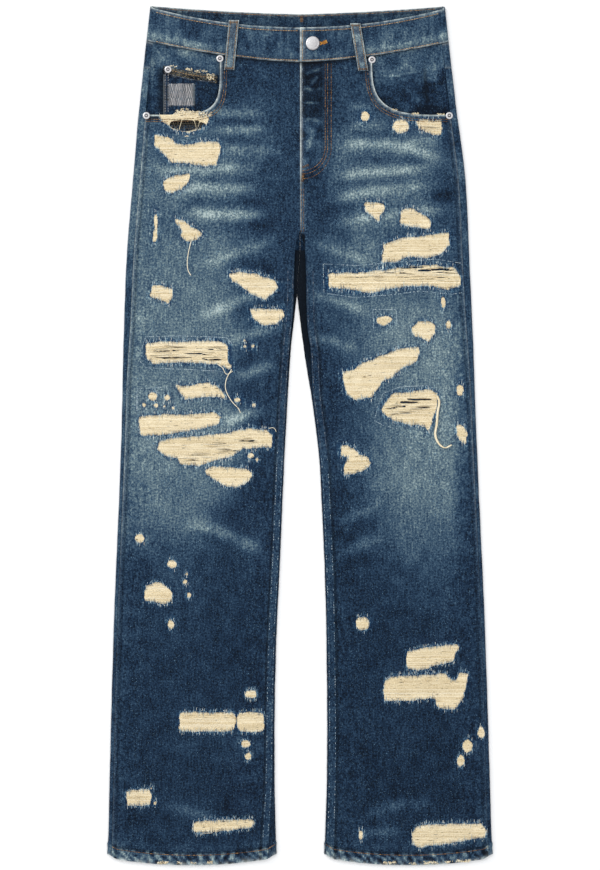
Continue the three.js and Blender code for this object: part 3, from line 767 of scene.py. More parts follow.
def shell(grid, normals, thickness, attributes=None, keep=None, cells=None):
    """A closed wall of cloth from a grid of places, cut where keep is below 0, open where cells is false."""
    rows, columns = grid.shape[:2]
    index = np.arange(rows * columns).reshape(rows, columns)
    quads = np.stack([index[:-1, :-1], index[:-1, 1:], index[1:, 1:], index[1:, :-1]], axis=-1)
    quads = quads.reshape(-1, 4)
    if cells is not None:
        quads = quads[cells.reshape(-1)]
    flat = grid.reshape(-1, 3)
    fields = {"normal": normals.reshape(-1, 3)}
    fields.update({key: values.reshape(-1) for key, values in (attributes or {}).items()})
    added, rims = [], []
    if keep is not None:
        keep = keep.reshape(-1)
        kept = (keep[quads] > 0).sum(axis=1)
        made = {}

        def cut(a, b):
            key = (min(a, b), max(a, b))
            if key not in made:
                made[key] = len(flat) + len(added)
                share = keep[key[0]] / (keep[key[0]] - keep[key[1]])
                added.append((key[0], key[1], min(0.96, max(0.04, share))))
            return made[key]

        for corners in quads[(kept > 0) & (kept < 4)].tolist():
            loop = cut_cell(corners, keep, cut)
            if len(loop) > 2:
                rims.append(tuple(loop))
        quads = quads[kept == 4]
    if added:
        first, second, share = (np.array(column) for column in zip(*added))

        def blend(values):
            weight = share.reshape((-1,) + (1,) * (values.ndim - 1))
            return np.concatenate([values, mix(values[first], values[second], weight)])

        flat = blend(flat)
        fields = {key: blend(values) for key, values in fields.items()}
    faces = [tuple(quad) for quad in quads.tolist()] + rims
    used = np.zeros(len(flat), bool)
    for face in faces:
        used[list(face)] = True
    number = np.cumsum(used) - 1
    faces = [tuple(number[list(face)].tolist()) for face in faces]
    flat = flat[used]
    fields = {key: values[used] for key, values in fields.items()}
    a, b, c = (flat[list(i)] for i in zip(*[face[:3] for face in faces[:400]]))
    if np.sum(np.cross(b - a, c - a) * fields["normal"][[face[0] for face in faces[:400]]]) < 0:
        faces = [face[::-1] for face in faces]
    count = len(flat)
    edges = {}
    for face in faces:
        for here, there in zip(face, face[1:] + face[:1]):
            edges[(here, there)] = True
    walls = [(b, a, a + count, b + count) for a, b in edges if (b, a) not in edges]
    lining = [tuple(i + count for i in face[::-1]) for face in faces]
    points = np.concatenate([flat, flat - fields["normal"] * thickness])
    doubled = {key: np.concatenate([values, values]) for key, values in fields.items() if key != "normal"}
    return points, faces + walls + lining, doubled


class Yarns:
    """Many short threads, stitches or frayed ends, joined in one mesh."""

    def __init__(self, sides=4):
        self.sides, self.points, self.faces, self.tones, self.count = sides, [], [], [], 0

    def add(self, path, radius, tone=0.5):
        path = np.asarray(path, float)
        radius = np.broadcast_to(radius, len(path))
        run = np.gradient(path, axis=0)
        run /= np.maximum(np.linalg.norm(run, axis=1, keepdims=True), 1e-9)
        aside = joined(run[:, 1], -run[:, 0], 0 * run[:, 0])
        aside /= np.maximum(np.linalg.norm(aside, axis=1, keepdims=True), 1e-9)
        up = np.cross(aside, run)
        turns = (np.arange(self.sides) + 0.5) * 2 * math.pi / self.sides
        ring = np.cos(turns)[None, :, None] * aside[:, None] + np.sin(turns)[None, :, None] * up[:, None]
        self.points.append((path[:, None] + ring * radius[:, None, None]).reshape(-1, 3))
        start, sides = self.count, self.sides
        for k in range(len(path) - 1):
            low = start + k * sides
            for s in range(sides):
                t = (s + 1) % sides
                self.faces.append((low + s, low + t, low + sides + t, low + sides + s))
        self.faces.append(tuple(start + s for s in reversed(range(sides))))
        self.faces.append(tuple(start + (len(path) - 1) * sides + s for s in range(sides)))
        self.tones.append(np.full(len(path) * sides, tone))
        self.count += len(path) * sides

    def build(self, name, material, slot):
        attributes = {"tone": np.concatenate(self.tones)}
        return new_piece(name, np.concatenate(self.points), self.faces, material, slot,
                         attributes=attributes, crisp=80)


def spaced(x, y, pitch):
    """Places a pitch apart along a line of places."""
    x, y = np.asarray(x, float), np.asarray(y, float)
    run = np.concatenate([[0], np.cumsum(np.hypot(np.diff(x), np.diff(y)))])
    at = np.arange(pitch / 2, run[-1], pitch)
    return np.interp(at, run, x), np.interp(at, run, y)


# ---------------- finishes

class Finish:
    """A material worked out from the piece's own place, in metres, and from its attributes."""

    def __init__(self, name, roughness, metallic=0.0, sheen=0.0, specular=0.25):
        self.material = bpy.data.materials.new(name)
        self.material.use_nodes = True
        self.tree = self.material.node_tree
        self.shader = self.tree.nodes["Principled BSDF"]
        self.put(roughness, self.shader.inputs["Roughness"])
        self.put(metallic, self.shader.inputs["Metallic"])
        self.put(sheen, self.shader.inputs["Sheen Weight"])
        self.put(specular, self.shader.inputs["Specular IOR Level"])

    def put(self, value, socket):
        """Sets a socket to a number or a (red, green, blue) in 0 to 255, or links another node to it."""
        if isinstance(value, bpy.types.NodeSocket):
            self.tree.links.new(value, socket)
        else:
            socket.default_value = dyed(value) if isinstance(value, tuple) else value

    def texture(self, kind, scale, stretch=(1, 1, 1), turn=0.0, **settings):
        coordinates = self.tree.nodes.new("ShaderNodeTexCoord")
        mapping = self.tree.nodes.new("ShaderNodeMapping")
        mapping.inputs["Scale"].default_value = stretch
        mapping.inputs["Rotation"].default_value = (0, 0, turn)
        self.tree.links.new(coordinates.outputs["Object"], mapping.inputs["Vector"])
        node = self.tree.nodes.new(kind)
        node.inputs["Scale"].default_value = scale
        for key, value in settings.items():
            node.inputs[key].default_value = value
        self.tree.links.new(mapping.outputs["Vector"], node.inputs["Vector"])
        return node.outputs["Fac"]

    def noise(self, scale, stretch=(1, 1, 1), **settings):
        return self.texture("ShaderNodeTexNoise", scale, stretch, **settings)

    def ribs(self, scale, turn=0.0, **settings):
        return self.texture("ShaderNodeTexWave", scale, turn=math.radians(turn), **settings)

    def attribute(self, name):
        node = self.tree.nodes.new("ShaderNodeAttribute")
        node.attribute_name = name
        return node.outputs["Fac"]

    def sums(self, operation, a, b):
        node = self.tree.nodes.new("ShaderNodeMath")
        node.operation = operation
        self.put(a, node.inputs[0])
        self.put(b, node.inputs[1])
        return node.outputs[0]

    def add(self, a, b):
        return self.sums("ADD", a, b)

    def times(self, a, b):
        return self.sums("MULTIPLY", a, b)

    def swing(self, value, strength, middle=0.5):
        """How far a value is from its middle, times a strength."""
        return self.times(self.sums("SUBTRACT", value, middle), strength)

    def toned(self, fleck, strength):
        """Each strand's own tone with a fleck over it."""
        return self.add(self.attribute("tone"), self.swing(fleck, strength))

    def colours(self, factor, *stops):
        """A colour for each value of factor, from (value, (red, green, blue)) stops."""
        node = self.tree.nodes.new("ShaderNodeValToRGB")
        elements = node.color_ramp.elements
        while len(elements) < len(stops):
            elements.new(0.5)
        for element, (value, colour) in zip(elements, stops):
            element.position = value
            element.color = dyed(colour)
        self.put(factor, node.inputs["Fac"])
        return node.outputs["Color"]

    def blended(self, factor, first, second):
        node = self.tree.nodes.new("ShaderNodeMix")
        node.data_type = "RGBA"
        self.put(factor, node.inputs["Factor"])
        self.put(first, node.inputs["A"])
        self.put(second, node.inputs["B"])
        return node.outputs["Result"]

    def made(self, colour, height, strength, distance):
        """The material, with its colour and the fine relief of its surface in place."""
        self.put(colour, self.shader.inputs["Base Color"])
        bump = self.tree.nodes.new("ShaderNodeBump")
        bump.inputs["Strength"].default_value = strength
        bump.inputs["Distance"].default_value = distance
        self.put(height, bump.inputs["Height"])
        self.put(bump.outputs["Normal"], self.shader.inputs["Normal"])
        return self.material


def dyed(colour):
    """Linear colour of a (red, green, blue) in 0 to 255."""
    share = np.array(colour) / 255
    linear = np.where(share <= 0.04045, share / 12.92, ((share + 0.055) / 1.055) ** 2.4)
    return (*linear.tolist(), 1.0)


def denim(name, lift=0.0):
    """Indigo warp over cream weft in a right-hand twill, faded by its attributes."""
    cloth = Finish(name, 0.95)
    twill = cloth.ribs(350, 28, Distortion=2.2, **{"Detail Scale": 2.0})
    slub = cloth.noise(1, (620, 75, 300), Detail=2.0)
    grain = cloth.noise(430, Detail=4.0, Roughness=0.75)
    cloud = cloth.noise(60, Detail=4.0)

    # Worn cloth shows more of its weft between the warp.
    fade = cloth.add(cloth.attribute("fade"), lift)
    open_weave = cloth.add(cloth.times(fade, 0.45), 0.37)
    value = cloth.add(fade, cloth.times(cloth.swing(grain, open_weave), 2.9))
    value = cloth.add(value, cloth.times(cloth.swing(slub, open_weave), 0.8))
    value = cloth.add(value, cloth.swing(cloud, 0.26))
    value = cloth.add(value, cloth.swing(twill, cloth.times(fade, 0.22)))
    dye = cloth.colours(value, (0.0, (5, 15, 28)), (0.2, (22, 42, 64)), (0.4, (47, 70, 91)),
                        (0.6, (82, 101, 112)), (0.8, (117, 135, 138)), (1.0, (166, 180, 178)))

    # Frayed warp round the rips.
    specks = cloth.add(cloth.times(slub, 0.5), cloth.times(grain, 0.5))
    scattered = cloth.sums("MAXIMUM", cloth.swing(cloud, 2.4, 0.2), 0.3)
    frayed = cloth.colours(specks, (0.42, (8, 30, 58)), (0.53, (22, 54, 86)), (0.59, (82, 124, 148)),
                           (0.65, (220, 230, 224)))
    dye = cloth.blended(cloth.times(cloth.attribute("halo"), scattered), dye, frayed)

    # Pale neps, edges rubbed white, and painted shade in seams and hollows from the shade attribute.
    bare = cloth.swing(cloth.noise(900, Detail=1.0), cloth.add(fade, 0.4), 0.67)
    dye = cloth.blended(cloth.times(cloth.sums("MAXIMUM", bare, 0.0), 7.0), dye, (136, 176, 200))
    dye = cloth.blended(cloth.times(cloth.attribute("wear"), cloth.times(grain, 1.7)), dye, (208, 216, 212))
    dye = cloth.blended(cloth.attribute("shade"), dye, (4, 8, 14))
    return cloth.made(dye, cloth.add(cloth.times(twill, 0.5), grain), 0.45, 0.0004)


def weft(name):
    """Bare cream weft, its threads lying side by side with short dark gaps of painted shade between them."""
    cloth = Finish(name, 0.9)
    fleck = cloth.noise(700, Detail=2.0)
    gaps = cloth.noise(1, (120, 900, 200), Detail=2.0)
    # Its darkest stop colours the strands of painted shadow along the slits, and the odd dark fleck.
    thread = cloth.colours(cloth.toned(fleck, 1.1), (0.0, (70, 56, 40)), (0.1, (160, 134, 96)),
                           (0.3, (200, 182, 144)), (0.6, (222, 208, 176)), (1.0, (242, 234, 212)))
    # Painted shade in the gaps between threads.
    gap = cloth.colours(gaps, (0.67, (0, 0, 0)), (0.70, (255, 255, 255)))
    return cloth.made(cloth.blended(gap, thread, (74, 62, 50)), fleck, 0.4, 0.0003)


def yarn(name, *stops, roughness=0.6):
    """Thread whose colour follows each strand's own tone, with a fine twist in it."""
    thread = Finish(name, roughness, sheen=0.1)
    tone = thread.toned(thread.noise(900, Detail=2.0), 0.5)
    return thread.made(thread.colours(tone, *stops), thread.ribs(700, 40, Distortion=1.0), 0.4, 0.0002)


def plated(name):
    """Nickel-plated steel, brushed, with painted highlights and painted shade from each piece's tone, dark in
    its grooves.
    """
    metal = Finish(name, 0.34, metallic=0.6, specular=0.5)
    smear = metal.noise(420, Detail=4.0)
    brushed = metal.noise(1, (1800, 260, 800), Detail=2.0)
    colour = metal.colours(metal.toned(smear, 0.3), (0.0, (34, 32, 34)), (0.5, (158, 155, 158)),
                           (1.0, (236, 234, 234)))
    metal.put(metal.add(metal.times(smear, 0.3), 0.22), metal.shader.inputs["Roughness"])
    return metal.made(colour, brushed, 0.15, 0.0002)


def zip_cloth(name):
    """Plain dark tape with fine ribs."""
    cloth = Finish(name, 0.8)
    rib = cloth.ribs(300, Distortion=0.5)
    return cloth.made(cloth.colours(rib, (0.2, (24, 26, 30)), (0.8, (52, 54, 60))), rib, 0.4, 0.0003)


WASHED = denim("washed_denim")
DARK = denim("dark_denim", lift=0.02)
CREAM = weft("cream_weft")
FRAY = yarn("frayed_warp", (0.0, (10, 34, 62)), (0.5, (36, 76, 110)), (0.76, (148, 178, 192)),
            (1.0, (234, 234, 222)), roughness=0.85)
NET = yarn("pocket_net_thread", (0.0, (26, 24, 22)), (0.6, (88, 82, 68)), (1.0, (160, 150, 124)),
           roughness=0.8)
STITCHED = {
    "rust": yarn("rust_thread", (0.0, (40, 28, 18)), (0.5, (98, 68, 38)), (1.0, (182, 140, 88))),
    "tan": yarn("tan_thread", (0.0, (96, 70, 44)), (0.5, (156, 122, 82)), (1.0, (206, 182, 142))),
    "amber": yarn("amber_thread", (0.0, (120, 72, 22)), (0.5, (190, 128, 44)), (1.0, (232, 182, 96))),
    "navy": yarn("navy_thread", (0.0, (18, 26, 40)), (0.5, (66, 76, 92)), (1.0, (150, 158, 164))),
    "pale": yarn("pale_thread", (0.0, (84, 104, 122)), (0.5, (150, 170, 182)), (1.0, (214, 222, 222))),
    "grey": yarn("darning_thread", (0.0, (84, 82, 86)), (0.5, (146, 142, 144)), (1.0, (206, 202, 200))),
}
STEEL = plated("nickel_plate")
TAPE = zip_cloth("zip_tape_cloth")


# ---------------- cloth pieces

def worn_and_shaded_fields(fade, halo=None, wear=None, shade=None):
    """The attributes of denim: dye gone, frayed halo, rubbed edge and painted shade of a hollow, 0 if not
    given.
    """
    fields = {"fade": fade, "halo": halo, "wear": wear, "shade": shade}
    return {key: np.zeros(np.shape(fade)) if values is None else values for key, values in fields.items()}


EDGE_STEPS = np.array([0, 0.9, 1.9, 3.0, 4.2, 5.6, 7.2, 8.8, 10.4, 12.2, 14.2])
MIDDLE_COLUMNS = 74


def front_wear_and_shade(side, out, y, rip, mouth):
    """How frayed and rubbed a front is and how much painted shade it gets, from how far each place is from
    its edges and rips.
    """
    x = side.sign * out
    outseam = front_outer_edge(side, y) - out
    inseam = out - front_inner_edge(side, y)
    above_hem = y - hem_line(side, out)
    under_band = front_seam(x) - y
    fuzz = fluff(x, y)

    reach = mix(2.0, 3.6, ramp(-120, 40, y))
    halo = 0.95 * np.exp(-(np.maximum(rip, 0) / reach) ** 1.3) * (1 + 0.3 * mottle(x, y, 3.2, 2))
    collar = drop(3.5, 5.5, rip_distance(side, x, y, only=COLLARED[side.name]))
    halo = np.maximum(halo, 0.8 * collar)

    # Rubbed white along the mouth, the outseam and the hem.
    wear = 1.25 * peak(mouth, 0, 1.3) * mix(0.35, 1, fuzz)
    worn_seam = (0.09 + 0.4 * ramp(-180, -40, y)) * (1.0 if side is RIGHT else 0.5)
    wear += worn_seam * fall(outseam, 0.9) * (0.3 + 0.7 * fuzz)
    wear += 1.2 * fall(above_hem, 1.8) * fuzz ** 2

    # Painted shade in the grooves of seams, beside stitching and the belt loops, under the band and at the
    # inner thigh.
    shade = 0.4 * peak(outseam, 4.5, 1.4) + 0.3 * peak(mouth, 3.6, 1.2) + 0.22 * peak(mouth, 7, 2.6)
    shade += 0.75 * peak(inseam, side.inseam_band, 1.3) * drop(100, 200, y)
    shade += 0.6 * peak(above_hem, HEM_DEPTH, 1.3)
    shade += 0.4 * peak(under_band, 0, 3) + 0.35 * fall(under_band, 1.4)
    shade += 0.6 * beside_loops(x, y) * (y > POCKET_FOOT)
    shade += 0.35 * fall(inseam, 3) * drop(200, 260, y) * ramp(-30, 120, y)
    # A strip beside the outer end of the right pocket mouth, darker.
    if side is RIGHT:
        shade += 0.6 * drop(-172, -166, x) * ramp(1.2, 2, mouth) * drop(5, 6.5, mouth)
        return halo, wear, shade

    # The fly: its worn edge, painted shade on the flap behind its ripples, beside and between its rows of
    # stitching, and at the lap by the crotch.
    edge = fall(np.abs(out - 0.6), 1.0) * mix(0.45, 1.15, ramp(305, 330, y)) * ramp(CROTCH + 10, 280, y)
    wear += edge * (0.5 + 0.5 * fuzz)
    shade += 0.4 * drop(26, 30, out) * ramp(388, 400, y) * ramp(1, 4, out)
    shade += 0.3 * peak(out, 29, 1.5) * ramp(335, 350, y)
    shade += 0.28 * ramp(30, 32, out) * drop(39, 41, out) * ramp(345, 365, y)
    shade += 0.93 * drop(5.5, 7, out) * drop(250, 254, y) * ramp(225, 230, y)
    return halo, wear, shade


def front_panel(side):
    """A front from hem to waist seam, cut away at its rips and at the pocket mouth."""
    heights = np.concatenate([np.arange(HEM, -520, 1.7), np.arange(-520, 465, 2.5), [466.0]])
    inner = front_inner_edge(side, heights)[:, None]
    outer = front_outer_edge(side, heights)[:, None]
    share = np.linspace(0, 1, MIDDLE_COLUMNS + 2)[None, 1:-1]
    low, high = inner + EDGE_STEPS[-1], outer - EDGE_STEPS[-1]
    out = np.concatenate([inner + EDGE_STEPS, mix(low, high, share), outer - EDGE_STEPS[::-1]], axis=1)
    x = side.sign * out
    y = np.broadcast_to(heights[:, None], out.shape)
    stretch = (front_seam(x) - GAP / 2 - POCKET_FOOT) / (heights[-1] - POCKET_FOOT)
    y = np.where(y > POCKET_FOOT, POCKET_FOOT + (y - POCKET_FOOT) * stretch, y)
    y = bowed(side, out, y)
    rip = rip_distance(side, x, y)
    mouth = mouth_field(side, x, y)
    fade = fading(side, x, y) + front_relief(side, out, y)[1]
    fields = worn_and_shaded_fields(fade, *front_wear_and_shade(side, out, y, rip, mouth))
    grid = joined(x, y, front_height(side, out, y))
    points, faces, fields = shell(grid, facing_out(grid, (0, 0, 1)), DENIM, fields, np.minimum(rip, mouth))
    return new_piece(f"front_{side.name}", points, faces, WASHED, "washed_denim",
                     [f"front_panel_{side.name}"], fields)


def fold_places(side, y, edge, way, inset, dip, count):
    """Places from a seam on top, round a fold, to the underside, with the way each faces."""
    height = float(upside(side.sign * edge, y)) - dip
    low = float(underside(y))
    half = (height - low) / 2
    flat = max(0.0, inset - FOLD_RADIUS)
    start = math.acos(max(0.0, 1 - inset / FOLD_RADIUS))
    arc = FOLD_RADIUS * (start + math.pi / 2)
    places = []
    for t in np.linspace(0, 1, count + 1):
        run = t * (flat + arc)
        if run < flat:
            out = edge - way * (inset - run)
            places.append((out, float(upside(side.sign * out, y)) - dip, 0.0, 1.0))
            continue
        angle = start - (run - flat) / FOLD_RADIUS
        out = edge - way * FOLD_RADIUS * (1 - math.cos(angle))
        places.append((out, low + half * (1 + math.sin(angle)), way * math.cos(angle), math.sin(angle)))
    return places


FOLD_STEPS, UNDER_STEPS, PART_STEPS = 12, 44, 6


def crotch_dip(y):
    return 2.4 * float(ramp(20, 110, y))


def back_places(side, y):
    """One row of a back: outseam, outer fold, underside, then the inner fold or the parted crotch."""
    inset = float(outseam_inset(y)) - GAP / 2
    outer = fold_places(side, y, float(side.outer_fold(y)), 1, inset, 0, FOLD_STEPS)
    seam = side.sign * float(centre_back(y)) + GAP / 2
    folded = y <= CROTCH_FOLD
    inner_end = (float(side.inner_fold(y)) if folded else seam) + FOLD_RADIUS
    outer_end = outer[-1][0]
    under = [(mix(outer_end, inner_end, t), float(underside(y)), 0.0, -1.0)
             for t in np.linspace(0, 1, UNDER_STEPS + 1)[1:-1]]
    if folded:
        inset = max(0.6, float(side.inseam(y)) - GAP / 2)
        fold = fold_places(side, y, float(side.inner_fold(y)), -1, inset, crotch_dip(y), 2 * PART_STEPS - 1)
        return outer + under + fold[::-1]
    low = [(mix(inner_end, seam, t), float(underside(y)), 0.0, -1.0) for t in np.linspace(0, 1, PART_STEPS)]
    height = float(upside(0, y)) - crotch_dip(y)
    inseam = max(seam + 2, float(side.crotch_edge(y)) - GAP / 2)
    high = [(mix(seam, inseam, t), height, 0.0, 1.0) for t in np.linspace(0, 1, PART_STEPS)]
    return outer + under + low + high


SLIT = FOLD_STEPS + UNDER_STEPS + PART_STEPS - 1


def back_rows(side, heights):
    rows = np.array([back_places(side, float(y)) for y in heights])
    out, z, aside, up = (rows[..., k] for k in range(4))
    y = np.broadcast_to(np.asarray(heights, float)[:, None], out.shape)
    return out, y, z, joined(side.sign * aside, 0 * aside, up)


def unit(vectors):
    return vectors / np.maximum(np.linalg.norm(vectors, axis=-1, keepdims=True), 1e-9)


def back_relief(side, out, y, faces):
    """Seam gathers and soft creases on a back, where it faces up or outwards. The underside stays flat."""
    free = ramp(-0.6, 0.1, faces[..., 2])
    inner = np.where(y <= CROTCH_FOLD, side.inner_fold(y), 0)
    near_inner = np.abs(out - inner) < 14
    ripple = 0.22 * mottle(out * 0 + y, out * 3, 16, 3) + 0.12 * puckers(y, 7.5, 1) * near_inner
    hem = drop(HEM_DEPTH - 1, HEM_DEPTH + 1, y - hem_line(side, out))
    roping = np.sin(2 * math.pi * (out + 0.8 * y) / 9.5)
    return free * (ripple + hem * (0.7 + 0.25 * roping)), hem


def back_grid(side):
    """Rows of a back from hem to yoke: distance out, height, z, each one's facing, and its cells of cloth."""
    heights = np.concatenate([np.arange(HEM, -518, 2.0), np.arange(-518, CROTCH_FOLD - 16, 4.6),
                              np.arange(CROTCH_FOLD - 15, CROTCH_FOLD + 12, 1.9),
                              np.arange(188, CROTCH - 3, 3.4), np.arange(CROTCH, 400, 4.8), [400.0]])
    out, y, z, faces = back_rows(side, heights)
    last_out, _, last_z, last_faces = back_rows(side, [YOKE_SIDE - GAP / 2])
    across = np.clip((np.arange(out.shape[1]) - FOLD_STEPS) / UNDER_STEPS, 0, 1)[None]
    end_y = mix(YOKE_SIDE, YOKE_CENTRE, across) - GAP / 2
    tail = np.linspace(0, 1, 14)[1:, None]
    out = np.concatenate([out, mix(out[-1:], last_out, tail)])
    y = np.concatenate([y, mix(y[-1:], end_y, tail)])
    z = np.concatenate([z, mix(z[-1:], last_z, tail)])
    faces = np.concatenate([faces, np.broadcast_to(last_faces, (len(tail),) + last_faces.shape[1:])])
    cells = np.ones((out.shape[0] - 1, out.shape[1] - 1), bool)
    cells[int(np.searchsorted(heights, CROTCH_FOLD + 1e-6)) - 1:, SLIT] = False
    cells[int(np.searchsorted(heights, CROTCH)):, SLIT:] = False
    return out, bowed(side, out, y), z, unit(faces), cells


def back_panel(side):
    """A back, wrapped round both folds of its leg, with painted shade on the inner thigh between the legs."""
    out, y, z, faces, cells = back_grid(side)
    x = side.sign * out
    up = faces[..., 2]
    relief, hem = back_relief(side, out, y, faces)
    grid = joined(x, y, z) + faces * relief[..., None]
    creases = [(crease, crease_share(crease, out, y) * (up < -0.5)) for crease in BACK_CREASES]
    for crease, share in creases:
        grid[..., 2] += crease[2] * share
    grid[..., 2] = np.maximum(grid[..., 2], 0)

    upward = ramp(-0.5, 0.2, up)
    outseam = upward * (np.arange(out.shape[1]) <= FOLD_STEPS)
    thigh = 0.1 * ramp(-240, -80, y) + 0.1 * ramp(150, 300, y)
    worn = 0.06 + thigh * (1.0 if side is RIGHT else 0.35) + 0.1 * mottle(x, y, 18, 4)
    fade = 0.16 + 0.07 * mottle(x, y, 30, 5) + 0.12 * hem * (1 + mottle(x, y, 6, 2)) + worn * outseam
    for crease, share in creases:
        fade += crease[3] * share
    wear = 0.6 * fall(y - hem_line(side, out), 2.2) * fluff(x, y)
    # Painted shade: near black on the inner thigh between the legs, lighter where the back faces up away from
    # its outseam strip.
    between = ramp(20, 120, y) * (np.abs(x) < 22) * (y < 260) * ramp(-0.98, -0.7, up)
    shade = 0.93 * between + 0.25 * (1 - between) * upward * (1 - outseam)
    fields = worn_and_shaded_fields(fade, None, wear, shade)
    points, polygons, fields = shell(grid, faces, DENIM, fields, cells=cells)
    return new_piece(f"back_{side.name}", points, polygons, DARK, "dark_denim",
                     [f"back_panel_{side.name}"], fields)


def back_yoke(side):
    columns = slice(0, SLIT + 1)
    foot = [part[:, columns] for part in back_rows(side, [YOKE_SIDE + GAP / 2])]
    head = [part[:, columns] for part in back_rows(side, [HIP_SEAM])]
    across = np.clip((np.arange(SLIT + 1) - FOLD_STEPS) / UNDER_STEPS, 0, 1)[None]
    foot_y = mix(YOKE_SIDE, YOKE_CENTRE, across) + GAP / 2
    low = float(underside(HIP_SEAM))
    share = 1 - np.clip((head[2] - low) / (upside(head[0], HIP_SEAM) - low), 0, 1)
    head_y = mix(front_seam(head[0]), back_seam(head[0]), share) - GAP
    t = np.linspace(0, 1, 12)[:, None]
    out, y, z = mix(foot[0], head[0], t), mix(foot_y, head_y, t), mix(foot[2], head[2], t)
    faces = unit(mix(foot[3], head[3], t[..., None]))
    grid = joined(side.sign * out, y, z)
    grid = grid + faces * (ramp(-0.6, 0.1, faces[..., 2]) * 0.2 * mottle(y, out, 12, 3))[..., None]
    fade = 0.22 + 0.1 * mottle(side.sign * out, y, 20, 5)
    wear = 0.15 * fall(y - foot_y, 1.5) + 0.2 * fall(head_y - y, 1.5)
    points, polygons, fields = shell(grid, faces, DENIM, worn_and_shaded_fields(fade, None, wear))
    return new_piece(f"yoke_{side.name}", points, polygons, DARK, "dark_denim", [f"back_yoke_{side.name}"],
                     fields)


def band_stations():
    """Places round the waist where the band is measured: foot, head, place at a height, and its facing."""
    stations = []

    def on_top(x, dip):
        stations.append((front_seam(x) + GAP / 2, front_top(x), lambda y: (x, band_height(x, y) - dip),
                         (0, 0, 1)))

    def underneath(x):
        stations.append((back_seam(x) + GAP / 2, back_top(x), lambda y: (x, underside(y)), (0, 0, -1)))

    def on_fold(side, angle):
        def edge(y):
            return side.sign * (side.outer_fold(y) - FOLD_RADIUS * (1 - math.cos(angle)))

        def at(y):
            half = (upside(edge(y), y) - underside(y)) / 2
            return edge(y), underside(y) + half * (1 + math.sin(angle))

        x = float(edge(HIP_SEAM))
        share = (1 - math.sin(angle)) / 2
        foot = mix(front_seam(x), back_seam(x), share) + GAP / 2
        head = mix(front_top(x), back_top(x), share)
        stations.append((foot, head, at, (side.sign * math.cos(angle), 0, math.sin(angle))))

    turn = np.linspace(math.pi / 2, -math.pi / 2, 13)
    left, right = (float(side.outer_fold(HIP_SEAM)) - FOLD_RADIUS for side in (LEFT, RIGHT))
    for x in np.linspace(0, left, 70)[:-1]:
        on_top(x, 0)
    for angle in turn:
        on_fold(LEFT, angle)
    for x in np.linspace(left, -right, 90)[1:-1]:
        underneath(x)
    for angle in turn[::-1]:
        on_fold(RIGHT, angle)
    for x in np.concatenate([np.linspace(-right, -24, 60)[1:], np.arange(-22, UNDERLAP, 2.5)]):
        on_top(x, (BAND_CLOTH + GAP) * float(ramp(-24, -4, x)))
    return stations


def waistband():
    """One strip: overlap end at the centre front, left side, back, right side, underlap."""
    stations = band_stations()
    share = np.concatenate([[0, 0.03, 0.07], np.linspace(0.12, 0.88, 13), [0.93, 0.97, 1]])
    grid = []
    for t in share:
        row = []
        for foot, head, at, _ in stations:
            y = mix(float(foot), float(head), t)
            x, z = at(y)
            row.append((float(x), y, float(z)))
        grid.append(row)
    grid = np.array(grid)
    lean = unit(np.array([[faces for *_, faces in stations]] * len(share), float))
    x, y, on_front_side = grid[..., 0], grid[..., 1], lean[..., 2] > 0.5
    t = np.broadcast_to(share[:, None], x.shape)
    fuzz = fluff(x, y)
    gather = 0.5 + 0.5 * puckers(x, 8, 5)

    # Worn along the lower half towards the sides and by the button, and along the top edge.
    low_worn = 0.1 + 0.28 * ramp(60, 130, np.abs(x + 6)) + 0.16 * peak(x, 10, 16)
    fade = 0.29 + 0.09 * mottle(x, y, 22, 5) + low_worn * peak(t, 0.18, 0.13) * (0.6 + 0.4 * gather)
    fade += 0.25 * fall(1 - t, 0.1) * gather + 0.15 * mottle(x, 0.35 * y, 5, 2)
    wear = 1.1 * fall(1 - t, 0.022) * fuzz + 0.7 * peak(t, 0.035, 0.02) * fuzz
    wear += fall(np.arange(x.shape[1]), 0.9)[None] * (0.4 + 0.6 * fuzz)

    # Painted shade on the inside, in the seam below, along both rows of stitches and beside the loops.
    shade = 0.25 * (lean[..., 2] < 0) + 0.75 * fall(t, 0.018) + 0.3 * peak(t, 0.1, 0.025)
    shade += peak(t, 0.87, 0.03) * mix(0.5, 0.15, gather)
    shade += 0.6 * beside_loops(x, y) * on_front_side
    hole = np.where(on_front_side, np.hypot(x - BUTTON_X, y - BUTTON_Y) - BUTTON_HOLE, 9.0)
    fields = worn_and_shaded_fields(fade, None, wear, shade)
    points, polygons, fields = shell(grid, lean, BAND_CLOTH, fields, hole)
    return new_piece("band", points, polygons, WASHED, "washed_denim", ["waistband"], fields)


def flat_patch(name, node, steps, place, fade, wear=None, shade=None,
               thickness=DENIM, finish=(WASHED, "washed_denim"), facing=1):
    """A patch or strip of cloth: place(u, v) gives its outside as x, y, z for shares across and along."""
    columns, rows = steps
    u, v = np.meshgrid(np.linspace(0, 1, columns + 1), np.linspace(0, 1, rows + 1))
    x, y, z = place(u, v)
    grid = joined(x, y, z)
    fields = worn_and_shaded_fields(fade(x, y), None, wear and wear(u, v, x, y), shade and shade(x, y))
    points, polygons, fields = shell(grid, facing_out(grid, (0, 0, facing)), thickness, fields)
    return new_piece(name, points, polygons, *finish, [node], fields)


